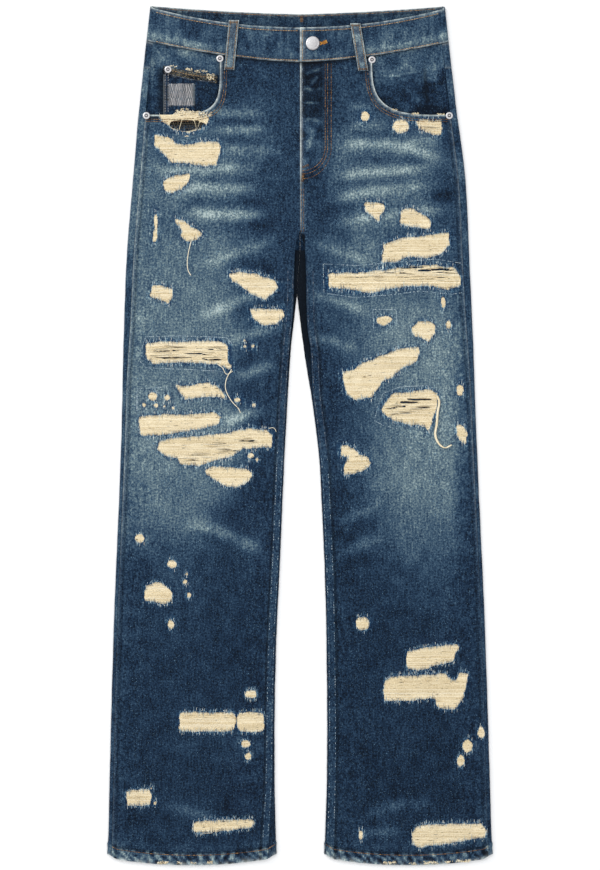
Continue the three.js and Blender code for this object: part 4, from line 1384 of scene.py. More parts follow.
# Fine bright creases in the pocket facings: line, half width, height and how worn.
FACING_CREASES = {
    "right": [([(-183, 485), (-167, 467)], 1.8, 0.2, 0.26), ([(-175, 488), (-160, 468)], 1.6, 0.2, 0.2),
              ([(-160, 482), (-140, 476), (-118, 466)], 6, 0.2, 0.16),
              ([(-184, 478), (-184, 455), (-186, 425)], 3, 0.2, 0.2)],
    "left": [([(102, 449), (122, 450), (150, 456)], 1.6, 0.2, 0.3),
             ([(126, 467), (144, 458)], 1.5, 0.2, 0.22),
             ([(166, 474), (168, 450), (174, 420)], 3, 0.2, 0.16),
             ([(102, 476), (130, 482), (170, 489)], 5, 0.2, 0.12)],
}


def facing_fold(side, x, y):
    """An upright fold in the left facing."""
    if side.sign < 0:
        return 0 * x
    return peak(x - 157 + 0.06 * (y - 440), 0, 2.4) * ramp(408, 425, y) * drop(440, 472, y)


def pocket_facing(side):
    """The piece behind a pocket mouth, creased and worn towards the waist."""
    def place(u, v):
        y = mix(POCKET_FOOT - FACING_TURN, front_seam(150), v)
        out = mix(side.outer_fold(y) - outseam_inset(y) - 0.9, side.mouth_start - FACING_TURN, u)
        y = mix(POCKET_FOOT - FACING_TURN, front_seam(out) - GAP / 2, v)
        x = side.sign * out
        hidden = (u < 0.02) & (y < POCKET_FOOT + 6)
        z = facing_height(side, x, y) + 0.25 * mottle(x, y, 15, 4) - 0.5 * facing_fold(side, x, y)
        return x, y, np.where(hidden, upside(x, y) - side.facing_drop, z)

    def fade(x, y):
        upper = ramp(430, 462, y - 0.08 * (np.abs(x) - 140))
        creased = sum(crease[3] * crease_share(crease, x, y) for crease in FACING_CREASES[side.name])
        return 0.12 + 0.24 * upper + 0.1 * mottle(x, y, 16, 5) + 0.1 * mottle(x * 0.5, y, 5, 2) + creased

    def shade(x, y):
        # Painted shade in the upright fold, under the waist seam, inside the mouth, beside the coin pocket
        # and in the torn hole.
        dark = 0.75 * facing_fold(side, x, y) + 0.5 * fall(front_seam(x) - y, 2)
        dark += 0.55 * fall(np.maximum(0, -mouth_field(side, x, y)), 2.6)
        if side is RIGHT:
            beside_coin = 0.7 * ramp(-182, -173, x) * drop(-171, -168, x) * drop(456, 462, y)
            torn = 0.92 * drop(0.9, 1.3, np.hypot((x + 140) / 27, (y - 388) / 9))
            dark = np.maximum(np.maximum(dark, beside_coin), torn)
        return dark

    return flat_patch(f"facing_{side.name}", f"pocket_facing_{side.name}", (56, 44), place, fade,
                      shade=shade, finish=(WASHED, "facing_denim"))


def coin_pocket():
    """The small pocket on the right facing, its top edge worn and its darned patch paler."""
    def place(u, v):
        x = -mix(COIN_OUTER, COIN_OUTER - COIN_WIDTH, u)
        y = mix(POCKET_FOOT - 6, coin_top(u) - COIN_SAG * np.sin(np.pi * u), v)
        edge = np.minimum(np.minimum(u, 1 - u) * COIN_WIDTH, (1 - v) * 60)
        return x, y, coin_height(x, y) - 0.35 * fall(edge, 1.5) + 0.15 * mottle(x, y, 12, 4)

    def fade(x, y):
        return 0.1 + 0.08 * mottle(x, y, 9, 5)

    def wear(u, v, x, y):
        fuzz = fluff(x, y, 3)
        hem = 0.3 * ramp(0.83, 0.87, v) * ramp(0.5, 0.9, fuzz)
        darned = ramp(-166, -164, x) * drop(-133, -131, x) * ramp(411, 413, y) * drop(438, 440, y)
        return 0.9 * fall(1 - v, 0.02) * fuzz + hem + 0.25 * fall(u, 0.02) + 0.17 * darned

    def shade(x, y):
        # Darker over the hem band, with painted shade in the line below it and along both sides.
        u = (COIN_OUTER + x) / COIN_WIDTH
        below = coin_top(u) - y
        sides = fall(np.minimum(u, 1 - u), 0.03)
        return 0.5 * drop(9, 11, below) + 0.5 * peak(below, 10, 1.2) + 0.5 * sides

    return flat_patch("coin_patch", "coin_pocket", (44, 44), place, fade, wear, shade,
                      finish=(WASHED, "facing_denim"))


def seat_patch_foot(u):
    """Height of a back pocket's pointed foot."""
    return SEAT_PATCH_TOP - SEAT_PATCH_DEPTH - SEAT_PATCH_POINT * (1 - np.abs(2 * u - 1))


def back_pocket(side):
    """A plain back pocket on the underside, pointed at its foot."""
    def place(u, v):
        half = mix(SEAT_PATCH_FOOT_HALF, SEAT_PATCH_TOP_HALF, v)
        x = side.sign * (SEAT_PATCH_OUT + mix(-half, half, u))
        return x, mix(seat_patch_foot(u), SEAT_PATCH_TOP, v), 0 * x

    def fade(x, y):
        return 0.2 + 0.06 * mottle(x, y, 16, 5)

    return flat_patch(f"seat_patch_{side.name}", f"back_pocket_{side.name}", (24, 24), place, fade,
                      finish=(DARK, "dark_denim"), facing=-1)


def loop_height(side, x, y):
    """Height of a front belt loop, arched a little between its ends."""
    foot, top = side.loop_foot[1], side.loop_top[1]
    return upside(x, y) + GAP + 1.35 + 1.2 * np.sin(np.pi * ramp(foot, top, y))


def front_loop(side):
    """A front belt loop, worn along its folded sides."""
    def place(u, v):
        centre, y = loop_line(side, v)
        x = centre + mix(-LOOP_HALF, LOOP_HALF, u)
        rounded = 0.35 * (fall(u, 0.07) + fall(1 - u, 0.07))
        ends = 0.5 * (fall(v, 0.05) + fall(1 - v, 0.05))
        return x, y, loop_height(side, x, y) - rounded + 0.25 * ends + 0.1 * puckers(y, 6, 2)

    def fade(x, y):
        return 0.42 + 0.24 * mottle(x, y, 6, 5)

    def wear(u, v, x, y):
        edges = fall(u, 0.06) + fall(1 - u, 0.06) + fall(1 - v, 0.02)
        return (0.75 * edges + 0.1) * (0.3 + 0.7 * fluff(x, y, 3))

    def shade(x, y):
        # Painted shade along both rows of stitching.
        return 0.55 * peak(off_loop(side, x, y), LOOP_HALF - STITCH_INSET, 0.8)

    return flat_patch(f"loop_front_{side.name}", f"belt_loop_front_{side.name}", (16, 44), place, fade,
                      wear, shade, thickness=1.3)


def back_loop(name, centre):
    """A plain belt loop on the back of the band."""
    def place(u, v):
        head = back_top(centre) - 1
        x = centre + mix(-LOOP_HALF, LOOP_HALF, u)
        return x, mix(head - LOOP_LENGTH, head, v), 0 * x

    def fade(x, y):
        return 0.35 + 0 * x

    return flat_patch(f"loop_back_{name}", f"belt_loop_back_{name}", (8, 30), place, fade,
                      finish=(DARK, "dark_denim"), facing=-1)


def fly_shield():
    """The shield behind the fly, narrowing to its foot."""
    def place(u, v):
        y = mix(FLY_FOOT + 4, float(front_seam(0)) - 2, v)
        inner = mix(26, 38, np.minimum(1, 2 * v))
        return mix(-14, inner, u), y, underside(y) + 2 * DENIM + GAP + 0 * u

    return flat_patch("shield", "fly_shield", (10, 24), place, lambda x, y: 0.2 + 0 * x,
                      finish=(DARK, "dark_denim"))


def zip_tape():
    """The zip's tape, on the shield."""
    def place(u, v):
        y = mix(FLY_FOOT + 10, float(front_seam(0)) - 3, v)
        return mix(-10, 18, u), y, underside(y) + 3 * DENIM + 2 * GAP + 0 * u

    return flat_patch("tape", "zip_tape", (10, 24), place, lambda x, y: 0 * x, thickness=1.0,
                      finish=(TAPE, "zip_cloth"))


# ---------------- rips: weft, frayed warp, loose ends

SWAY = 1.7


def slit_lens(slit, x, y):
    """A slit's half height at x, zero past its ends, and the height of its middle."""
    x0, x1, middle, half = slit
    t = np.clip((x - x0) / (x1 - x0), 0, 1)
    lens = half * np.sqrt(np.maximum(0, 4 * t * (1 - t)))
    return lens, middle + SWAY * mottle(x, y * 0 + middle, 16, 2), (x > x0) & (x < x1)


def in_slit(side, x, y):
    """Above zero inside a dark opening between the weft threads."""
    deepest = np.full(np.shape(x), -9.0)
    for slit in SLITS[side.name]:
        lens, centre, inside = slit_lens(slit, x, y)
        torn = min(1.4, 0.55 * slit[3]) * (mottle(x, y, 2.6, 3) + mottle(x, y, 6, 4))
        deepest = np.where(inside, np.maximum(deepest, lens + torn - np.abs(y - centre)), deepest)
    return deepest


def weft_height(side, x, y):
    return lying_on(side, x, y) - 0.75 + 0.2 * mottle(x * 0.2, y, 2.2, 4)


def weft_ground(side):
    """The close-lying weft that fills each rip, as one piece a leg."""
    pad = 3.0
    points, polygons, tones, count = [], [], [], 0
    for shape, x0, x1, y0, y1 in rip_boxes(side):
        columns = max(3, int((x1 - x0 + 2 * pad) / 2.2))
        rows = max(3, int((y1 - y0 + 2 * pad) / 1.5))
        x, y = np.meshgrid(np.linspace(x0 - pad, x1 + pad, columns), np.linspace(y0 - pad, y1 + pad, rows))
        keep = np.minimum(1.6 - shape(x, y), -0.2 - in_slit(side, x, y))
        keep = np.minimum(keep, mouth_field(side, x, y) + 0.4)
        keep[0], keep[-1], keep[:, 0], keep[:, -1] = -1, -1, -1, -1
        if not (keep > 0).any():
            continue
        grid = joined(x, y, weft_height(side, x, y))
        tone = {"tone": 0.45 + 0.2 * mottle(x * 0.12, y, 1.7, 1) + 0.12 * mottle(x, y, 9, 2)}
        part, faces, fields = shell(grid, facing_out(grid, (0, 0, 1)), 0.35, tone, keep)
        points.append(part)
        polygons += [tuple(i + count for i in face) for face in faces]
        tones.append(fields["tone"])
        count += len(part)
    return new_piece(f"weft_{side.name}", np.concatenate(points), polygons, CREAM, "washed_denim",
                     attributes={"tone": np.concatenate(tones)})


def around_slits(side, x, y):
    """Threads are pushed aside where a slit opens."""
    for slit in SLITS[side.name]:
        lens, centre, inside = slit_lens(slit, x, y)
        lens = np.where(inside, lens + 0.35, 0)
        off = y - centre
        squeezed = np.sign(off) * (lens + np.abs(off) * 0.75)
        y = np.where((np.abs(off) < 2.5 * lens) & (lens > 0), centre + squeezed, y)
    return y


def crossings(inside):
    """Where a row of places goes in and out of a shape, by turns."""
    return np.flatnonzero(np.diff(np.concatenate([[0], inside.astype(int), [0]])))


def weft_threads(side, dice):
    """Single weft threads lying across each rip, each one on its own slightly wandering line."""
    strands = Yarns(4)
    for shape, x0, x1, y0, y1 in rip_boxes(side):
        level = y0 + 0.4
        while level < y1:
            x = np.arange(x0 - 2, x1 + 2.1, 1.0)
            y = level + 0 * x
            edges = crossings((shape(x, y) < 0.6) & (mouth_field(side, x, y) > -1.2))
            for first, last in zip(edges[::2], edges[1::2]):
                if last - first >= 3:
                    lay_thread(side, strands, dice, x[first] - 0.6, x[last - 1] + 0.6, level,
                               max(3, int((last - first) / 4) + 2))
            level += dice.uniform(0.95, 1.45)
    for slit in SLITS[side.name]:
        draw_apart(side, strands, dice, slit)
    return strands.build(f"weft_threads_{side.name}", CREAM, "washed_denim")


def lay_thread(side, strands, dice, start, end, level, count):
    """One weft thread from start to end, arched up a little and tucked under the denim at its ends."""
    x = np.linspace(start, end, count)
    y = level + 0.45 * mottle(x, x * 0 + level, 13, 2) + dice.uniform(-0.25, 0.25)
    y = around_slits(side, x, y)
    arch = dice.uniform(-0.1, 0.3) * np.sin(np.linspace(0, math.pi, count))
    z = weft_height(side, x, y) + 0.25 + arch
    z[0] -= 0.3
    z[-1] -= 0.3
    strands.add(joined(x, y, z), dice.uniform(0.3, 0.46), dice.uniform(0.4, 0.85))


def draw_apart(side, strands, dice, slit):
    """Strands of painted shadow where threads have drawn apart, along every slit but the torn pocket's wide
    one.
    """
    x0, x1, middle, half = slit
    for strand in range(SHADOW_STRANDS if half < 2 else 0):
        start = mix(x0 - 5, x1 - 10, dice.random())
        x = np.linspace(start, min(x1 + 5, start + dice.uniform(10, 26)), 7)
        y = middle + mix(-3.0, 3.0, (strand + dice.random()) / SHADOW_STRANDS)
        y = y + 0.6 * mottle(x, x * 0 + strand, 11, 4)
        width = 0.24 * np.sin(np.linspace(0.25, math.pi - 0.25, 7))
        strands.add(joined(x, y, weft_height(side, x, y) + 0.62), width, SHADOW_TONE)


def frayed_warp(side, dice):
    """Broken warp ends along the upper and lower edge of each rip, and floats worn pale around it."""
    ends = Yarns(3)
    for shape, x0, x1, y0, y1 in rip_boxes(side):
        large = min(x1 - x0, y1 - y0) > 13
        scan = np.arange(y0 - 6, y1 + 6.1, 0.5)
        for x in np.arange(x0 - 2.0, x1 + 2.1, 0.95):
            x = x + dice.uniform(-0.35, 0.35)
            column = x + 0 * scan
            for k, edge in enumerate(crossings(shape(column, scan) + ragged(column, scan) < 0)):
                level = scan[min(edge, len(scan) - 1)]
                way = 1 if k % 2 == 0 else -1
                if mouth_field(side, x, level) < 1.5:
                    continue
                reach = dice.uniform(0.8, 3.4) * (1.0 if large else 0.6)
                if large and dice.random() < 0.1:
                    reach *= 2.2
                fray(side, ends, dice, x, level - way * 1.2, level + way * reach)
                if dice.random() < 0.75:
                    back = dice.uniform(0.6, 2.2)
                    end = back + dice.uniform(1.2, 4.5)
                    fray(side, ends, dice, x + 0.4, level - way * back, level - way * end)
    return ends.build(f"frayed_warp_{side.name}", FRAY, "washed_denim")


def fray(side, ends, dice, x, y0, y1):
    """One broken end, lying on the denim and lifted in its middle."""
    lean = dice.uniform(-0.5, 0.5)
    px = np.array([x, x + lean * 0.4, x + lean])
    py = np.array([y0, (y0 + y1) / 2, y1])
    pz = lying_on(side, px, py) + np.array([0.02, dice.uniform(0.15, 0.5), -0.1])
    ends.add(joined(px, py, pz), np.array([0.26, 0.24, 0.12]), dice.uniform(0.1, 1.0))


# Loose weft yarns that hang out of rips: route on the garment, thickness and tone.
LOOSE = [
    ([(-136, 243), (-139, 231), (-141, 217), (-140, 206), (-136, 199)], 0.5, 0.85),
    ([(-85, 83), (-92, 70), (-93, 57), (-86, 43), (-77, 33), (-74, 26)], 0.5, 0.85),
    ([(-104, 89), (-97, 84), (-92, 76), (-84, 80)], 0.4, 0.8),
    ([(-40, 8), (-33, 9), (-29, 3)], 0.35, 0.8),
]
# Rows of pale stitches sewn round the largest rips.
OUTLINES = {
    "right": [[(-198, 108), (-193, 123), (-150, 124), (-92, 122), (-85, 114)],
              [(-200, 92), (-192, 84), (-140, 82), (-104, 80), (-92, 78)],
              [(-204, 56), (-204, 30), (-203, 58), (-166, 60)]],
    "left": [[(30, 178), (29, 214), (70, 212), (130, 217), (170, 220), (200, 215)],
             [(34, 177), (68, 172), (110, 175), (150, 180), (190, 176), (203, 178)],
             [(92, 133), (91, 157), (121, 157), (121, 140)], [(96, 30), (93, 18), (104, 12), (122, 8)],
             [(96, 34), (104, 52), (124, 60), (160, 62)]],
}


def smooth_route(points, spacing):
    """A smooth line through given points."""
    points = np.array(points, float)
    fine = np.linspace(0, len(points) - 1, 200)
    slopes = np.gradient(points, axis=0)
    i = np.clip(fine.astype(int), 0, len(points) - 2)
    s = (fine - i)[:, None]
    a, b, da, db = points[i], points[i + 1], slopes[i], slopes[i + 1]
    ends = (2 * s**3 - 3 * s**2 + 1) * a + (s**3 - 2 * s**2 + s) * da
    curve = ends + (3 * s**2 - 2 * s**3) * b + (s**3 - s**2) * db
    return spaced(curve[:, 0], curve[:, 1], spacing)


# Tufts of frayed ends on worn edges: middle, half width, half height and how many ends.
TUFTS = [
    (-172, -535, 7, 1.6, 44), (-112, -534.5, 4, 1.6, 24), (-150, -535, 3, 1.2, 10),
    (-133, -535, 3, 1.2, 10), (112, -535, 8, 1.6, 44), (164, -535, 9, 1.6, 50), (204, -532.5, 9, 1.6, 44),
    (186, -534, 5, 1.2, 16), (140, -536, 5, 1.2, 14), (-112, 448, 4, 4, 44), (-139, 457.5, 4, 1.4, 20),
    (-124, 455, 8, 1.6, 24), (-158, 461, 5, 1.2, 10), (-150, 404, 6, 2, 34), (-136, 403, 16, 2.2, 90),
    (-116, 401, 6, 2.5, 36), (-144, 407, 5, 1.6, 16), (144, 401.5, 4, 1.0, 22), (176, 400.6, 4, 0.8, 14),
    (119, 406.8, 3, 1.0, 10),
]


def tufts(dice):
    """Short frayed ends turned every way on worn edges, on the coin pocket or on a front."""
    ends = Yarns(3)
    for cx, cy, half_width, half_height, count in TUFTS:
        ground = coin_height if cy > 430 and cx < 0 else on_front
        for _ in range(count):
            x = cx + dice.uniform(-1, 1) * half_width
            y = cy + dice.uniform(-1, 1) * half_height
            turn, reach = dice.uniform(0, 2 * math.pi), dice.uniform(0.7, 1.8)
            px = x + np.array([-1, 0, 1]) * reach * math.cos(turn)
            py = y + np.array([-1, 0, 1]) * reach * 0.7 * math.sin(turn)
            pz = ground(px, py) + np.array([0.0, dice.uniform(0.2, 0.6), 0.1])
            ends.add(joined(px, py, pz), np.array([0.26, 0.34, 0.2]), dice.uniform(0.2, 1.0))
    return ends.build("worn_tufts", CREAM, "washed_denim")


# The thick twisted bundle that hangs from the left leg.
BUNDLE = [(171, 50), (174, 41), (172, 28), (171, 14), (169, 1), (173, -10), (181, -16), (190, -12)]
BUNDLE_STRANDS = 5
YARN_STEP = 2.0


def loose_yarns():
    """Weft yarns that hang out of rips, and a twisted bundle of them."""
    yarns = Yarns(6)
    for route, radius, tone in LOOSE:
        x, y = smooth_route(route, YARN_STEP)
        yarns.add(joined(x, y, on_front(x, y) + radius + 0.15), radius, tone)
    for strand in range(BUNDLE_STRANDS):
        x, y = smooth_route(BUNDLE, YARN_STEP)
        swing = np.arange(len(x)) * YARN_STEP / 5 + strand * 2 * math.pi / BUNDLE_STRANDS
        x = x + 0.9 * np.cos(swing)
        yarns.add(joined(x, y, on_front(x, y) + 1.5 + 0.8 * np.sin(swing)), 0.62, 0.55 + 0.06 * strand)
    return yarns.build("loose_yarns", CREAM, "washed_denim")


# ---------------- sewing

UNDER_SUNK = 0.38


def under_seat(x, y):
    """Where thread shows on the underside, over the seat's hollow."""
    return underside(y) + UNDER_SUNK


def under_patch(x, y):
    """Where thread shows on a patch or loop that touches the surface."""
    return UNDER_SUNK + 0 * x


class Sewing:
    """Stitches by thread colour, laid in rows on whatever surface they are sewn to."""

    def __init__(self, dice):
        self.dice = dice
        self.threads = {name: Yarns(4) for name in STITCHED}

    def row(self, thread, x, y, surface, pitch=3.2, length=2.6, radius=0.4, facing=1, skip=0.0):
        x, y = spaced(x, y, pitch)
        if len(x) < 2:
            return
        run_x, run_y = np.gradient(x), np.gradient(y)
        size = np.maximum(np.hypot(run_x, run_y), 1e-9)
        for px, py, ux, uy in zip(x, y, run_x / size, run_y / size):
            if self.dice.random() < skip:
                continue
            self.stitch(thread, px, py, ux * length / 2, uy * length / 2, surface, radius, facing)

    def stitch(self, thread, x, y, half_x, half_y, surface, radius, facing=1, lift=0.0):
        """One stitch, arched over the cloth and sunk into it at both ends."""
        at = np.array([-1, -0.6, 0.6, 1])
        px, py = x + at * half_x, y + at * half_y
        pz = surface(px, py) + facing * (lift + np.array([-0.15, 0.14, 0.14, -0.15]))
        thickness = np.array([0.5, 1, 1, 0.5]) * radius
        self.threads[thread].add(joined(px, py, pz), thickness, self.dice.uniform(0.2, 0.8))

    def bartack(self, thread, x, y, along_x, along_y, width, surface, count=12):
        """A dense zigzag bar over the end of a seam, from its middle, half its run and its width."""
        size = math.hypot(along_x, along_y)
        across = np.array([-along_y, along_x]) / size * width / 2
        for t in np.linspace(-1, 1, count):
            self.stitch(thread, x + t * along_x, y + t * along_y, *across, surface, 0.3, lift=0.25)

    def build(self):
        return [yarns.build(f"stitches_{thread}", STITCHED[thread], "washed_denim")
                for thread, yarns in self.threads.items() if yarns.count]


def sew_front(sewing, side):
    """Two rows down the inseam, one at the hem and two round the pocket mouth."""
    surface = partial(lying_on, side)
    heights = np.linspace(HEM + HEM_DEPTH + 14, 205, 260)
    for inset in (1.6, side.inseam_band - 2.2):
        out = front_inner_edge(side, heights) + inset
        x, y = side.sign * out, bowed(side, out, heights)
        low = y < -20
        sewing.row("pale", x[low], y[low], surface, length=2.0, radius=0.3, skip=0.5)
        sewing.row("navy", x[~low], y[~low], surface, skip=0.08)
    out = np.linspace(float(side.inner_fold(HEM)) + 1, float(side.outer_fold(HEM)) - 6, 120)
    sewing.row("rust", side.sign * out, hem_line(side, out) + HEM_DEPTH - 2.5, surface, pitch=3.0,
               radius=0.5)
    for offset in (5.5, 8.2):
        x, y = mouth_line(side, offset)
        free = y < front_seam(x) - 2
        sewing.row("rust", x[free], y[free], surface, skip=0.05, radius=0.45)


def sew_round_rips(sewing, side):
    """Pale stitches that frame the largest rips."""
    for line in OUTLINES[side.name]:
        x, y = np.array(line, float).T
        sewing.row("pale", x, y, partial(lying_on, side), pitch=2.4, length=1.8, radius=0.4, skip=0.15)


NET_LEFT, NET_RIGHT = -166, -114
NET_FOOT, NET_TOP = 377, 399


def pocket_net(dice):
    """Coarse net of the pocket bag in the torn mouth, and in the same thread the coin pocket's frayed hem."""
    net = Yarns(4)
    for lean, count in ((0.35, 18), (-0.45, 16), (0.0, 6)):
        for k in range(count):
            across = mix(NET_LEFT, NET_RIGHT, (k + 0.5) / count) + dice.uniform(-0.8, 0.8)
            if lean:
                y = np.linspace(NET_FOOT, NET_TOP, 6)
                x = across + lean * (y - 388) + 0.5 * mottle(y, y * 0 + k, 5, 3)
            else:
                x = np.linspace(NET_LEFT, NET_RIGHT, 6)
                y = NET_FOOT + 3 + 3.2 * k + 0.8 * mottle(x, x * 0 + k, 9, 3)
            z = lying_on(RIGHT, x, y) - 1.9 + 0.1 * np.cos(np.arange(6) * 2.1 + k)
            net.add(joined(x, y, z), 0.24, dice.uniform(0.05, 0.7))
    for _ in range(420):
        x = dice.uniform(-169, -104)
        y = float(coin_top((COIN_OUTER + x) / COIN_WIDTH)) - dice.uniform(1.5, 10.5)
        turn = dice.uniform(0, math.pi)
        px = x + np.array([-0.9, 0, 0.9]) * math.cos(turn)
        py = y + np.array([-0.9, 0, 0.9]) * math.sin(turn)
        pz = coin_height(px, py) + np.array([-0.1, dice.uniform(0.15, 0.4), -0.1])
        net.add(joined(px, py, pz), 0.26, dice.uniform(0.0, 1.0) ** 2)
    return net.build("worn_olive_threads", NET, "washed_denim")


def sew_fly(sewing):
    """The fly's curved rows, the rows below it, and a bar at each end of its curve."""
    surface = partial(lying_on, LEFT)
    turn = np.linspace(0, math.pi / 2, 20)
    for width, foot in ((31.5, FLY_FOOT + 30), (34.5, FLY_FOOT + 26), (39, FLY_FOOT + 20)):
        bend_x = 2.5 + (width - 2.5) * np.cos(turn)
        bend_y = foot + (FLY_FOOT + 60 - foot) * (1 - np.sin(turn))
        x = np.concatenate([[width], bend_x])
        y = np.concatenate([[float(front_seam(width)) - 3], bend_y])
        sewing.row("rust", x, y, surface, radius=0.46)
    heights = np.linspace(FLY_FOOT + 8, CROTCH + 22, 30)
    for out in (1.8, 4.6):
        sewing.row("rust", out + 0 * heights, heights, surface)
    heights = np.linspace(float(front_seam(0)) - 4, FLY_FOOT + 14, 40)
    sewing.row("navy", 3.0 + 0 * heights, heights, surface)
    sewing.bartack("rust", 3.4, FLY_FOOT + 22, 0.8, 5.0, 3.2, surface)
    sewing.bartack("rust", 7, FLY_FOOT + 36, 3.5, 1.5, 3.0, surface, count=9)


def sew_band(sewing):
    """Rows along both edges of the band, outside and in, its end, its back bar and the buttonhole."""
    for x in (np.linspace(-180, -2, 100), np.linspace(2, 174, 100)):
        sewing.row("tan", x, front_top(x) - 4.2, band_height, radius=0.48)
        sewing.row("tan", x, front_seam(x) + 2.4, band_height, radius=0.48)
    end_y = np.linspace(float(front_seam(2)) + 4, float(front_top(2)) - 4.5, 12)
    sewing.row("tan", 3.0 + 0 * end_y, end_y, band_height)

    def inside(x, y):
        return underside(y) + BAND_CLOTH

    x = np.linspace(-176, 170, 160)
    sewing.row("rust", x, back_top(x) - 2.2, inside, radius=0.5)
    sewing.bartack("rust", 2, float(back_top(0)) - 6, 0.01, 3.6, 4.0, inside, count=8)
    sewing.row("tan", x, back_top(x) - 4.0, under_seat, facing=-1)
    sewing.row("tan", x, back_seam(x) + 3.6, under_seat, facing=-1)
    # The buttonhole, worked round in a keyhole shape.
    for t in np.linspace(0, 2 * math.pi, 40, endpoint=False):
        cx, cy = BUTTON_X + 2 + 9.5 * math.cos(t), BUTTON_Y + 2.2 * math.sin(t)
        sewing.stitch("amber", cx, cy, math.cos(t), 1.2 * math.sin(t) + 0.2, band_height, 0.32)
    sewing.bartack("amber", BUTTON_X + 15, BUTTON_Y + 1.5, 2.4, 1.2, 4.6, band_height, count=8)


def sew_loops(sewing):
    """Two rows up every loop, and a bar at each end of the front ones."""
    offsets = (STITCH_INSET - LOOP_HALF, LOOP_HALF - STITCH_INSET)
    for side in SIDES:
        def surface(x, y):
            return loop_height(side, x, y) + 0.1

        for offset in offsets:
            x, y = loop_line(side, np.linspace(0.03, 0.97, 30))
            sewing.row("tan", x + offset, y, surface, pitch=3.0, length=2.2)
        for v in (0.035, 0.955):
            x, y = loop_line(side, v)
            sewing.bartack("rust", x, y, LOOP_HALF - 1.0, 0, 2.6, surface)
    for centre in REAR_LOOPS.values():
        y = np.linspace(float(back_top(centre)) - LOOP_LENGTH + 2, float(back_top(centre)) - 3, 30)
        for offset in offsets:
            sewing.row("tan", centre + offset + 0 * y, y, under_patch, facing=-1, pitch=3.6)


DARN_LEFT, DARN_RIGHT, DARN_PITCH = -163.0, -133, 1.5
DARN_FOOT, DARN_TOP = 413, 438.5


def sew_coin(sewing):
    """Rows along the coin pocket's top and outer side, and its darned patch."""
    x = -np.linspace(169, 105, 40)
    u = (COIN_OUTER + x) / COIN_WIDTH
    top = coin_top(u) - COIN_SAG * np.sin(np.pi * u)
    sewing.row("tan", x, top - 3.0, coin_height)
    sewing.row("navy", x, top - 8.6, coin_height)
    y = np.linspace(458, 404, 30)
    for out in (168.6, 164.8):
        sewing.row("grey", -out + 0 * y, y, coin_height, length=1.9, radius=0.34)
    # Darning: close upright rows of thread over a worn place on the coin pocket.
    for number, x in enumerate(np.arange(DARN_LEFT, DARN_RIGHT, DARN_PITCH)):
        for y in (416.5, 425.5, 434.5):
            lean = (0.6 if number % 2 else -0.6) + sewing.dice.uniform(-0.4, 0.4)
            sewing.stitch("grey", x, y + sewing.dice.uniform(-1.0, 1.0), lean, 4.8, coin_height, 0.44)
    for y in (DARN_FOOT, DARN_TOP):
        sewing.row("grey", np.array([DARN_LEFT - 1.5, DARN_RIGHT + 0.5]), np.array([y, y + 0.6]),
                   coin_height)


def sew_back(sewing):
    """Plain sewing on the side that the garment lies on."""
    def row(x, y, surface):
        sewing.row("tan", x, y, surface, facing=-1, pitch=4.0, length=3.0)

    for side in SIDES:
        share = np.linspace(0.02, 0.98, 60)
        for lift in (2.2, 7.5):
            row(side.sign * mix(HALF_WAIST, 1, share), mix(YOKE_SIDE, YOKE_CENTRE, share) + lift,
                under_seat)
        u = np.linspace(0.02, 0.98, 40)
        for inset in (2.0, 7.0):
            half = (SEAT_PATCH_FOOT_HALF + SEAT_PATCH_TOP_HALF) / 2 - inset
            x = side.sign * (SEAT_PATCH_OUT + mix(-half, half, u))
            row(x, seat_patch_foot(u) + inset * 1.2, under_patch)
            y = np.linspace(SEAT_PATCH_TOP - SEAT_PATCH_DEPTH + 2, SEAT_PATCH_TOP - 2, 30)
            v = (y - SEAT_PATCH_TOP + SEAT_PATCH_DEPTH) / SEAT_PATCH_DEPTH
            half = mix(SEAT_PATCH_FOOT_HALF, SEAT_PATCH_TOP_HALF, v) - inset
            for way in (-1, 1):
                row(side.sign * (SEAT_PATCH_OUT + way * half), y, under_patch)
    y = np.linspace(250, 476, 60)
    for offset in (2.0, 7.0):
        row(offset + 0 * y, y, under_seat)


# ---------------- metal

def turned(name, radius, height, rings, facets, bevel, tone):
    """A stud or button, from a flat disc: its top is inset and pushed up or down ring by ring."""
    bpy.ops.object.select_all(action="DESELECT")
    bpy.ops.mesh.primitive_cylinder_add(vertices=facets, radius=radius * MM, depth=height * MM,
                                        location=(0, 0, height * MM / 2))
    piece = bpy.context.object
    piece.name = name
    bpy.ops.object.transform_apply(location=True)
    bpy.ops.object.mode_set(mode="EDIT")
    bpy.ops.mesh.select_all(action="DESELECT")
    bpy.ops.object.mode_set(mode="OBJECT")
    for polygon in piece.data.polygons:
        polygon.select = polygon.normal.z > 0.9
    bpy.ops.object.mode_set(mode="EDIT")
    for inset, lift in rings:
        bpy.ops.mesh.inset(thickness=inset * MM, depth=0)
        bpy.ops.transform.translate(value=(0, 0, lift * MM))
    bpy.ops.object.mode_set(mode="OBJECT")
    modifier = piece.modifiers.new("edges", "BEVEL")
    modifier.width = bevel * MM
    modifier.segments = 2
    modifier.limit_method = "ANGLE"
    modifier.angle_limit = math.radians(28)
    bpy.ops.object.modifier_apply(modifier="edges")
    # Painted highlights and shade over the metal, stored as the tone attribute.
    spots = np.empty(len(piece.data.vertices) * 3)
    piece.data.vertices.foreach_get("co", spots)
    x, y, _ = spots.reshape(-1, 3).T / MM
    store(piece.data, "tone", tone(x, y, np.hypot(x, y)))
    return piece


def placed(piece, x, y, z):
    """Puts a finished piece's mesh where it belongs, with its object at the origin."""
    only(piece)
    piece.location = (x * MM, y * MM, z * MM)
    bpy.ops.object.transform_apply(location=True, rotation=True, scale=True)
    return piece


def copy_of(piece, name):
    twin = piece.copy()
    twin.data = piece.data.copy()
    twin.name = name
    bpy.context.collection.objects.link(twin)
    return twin


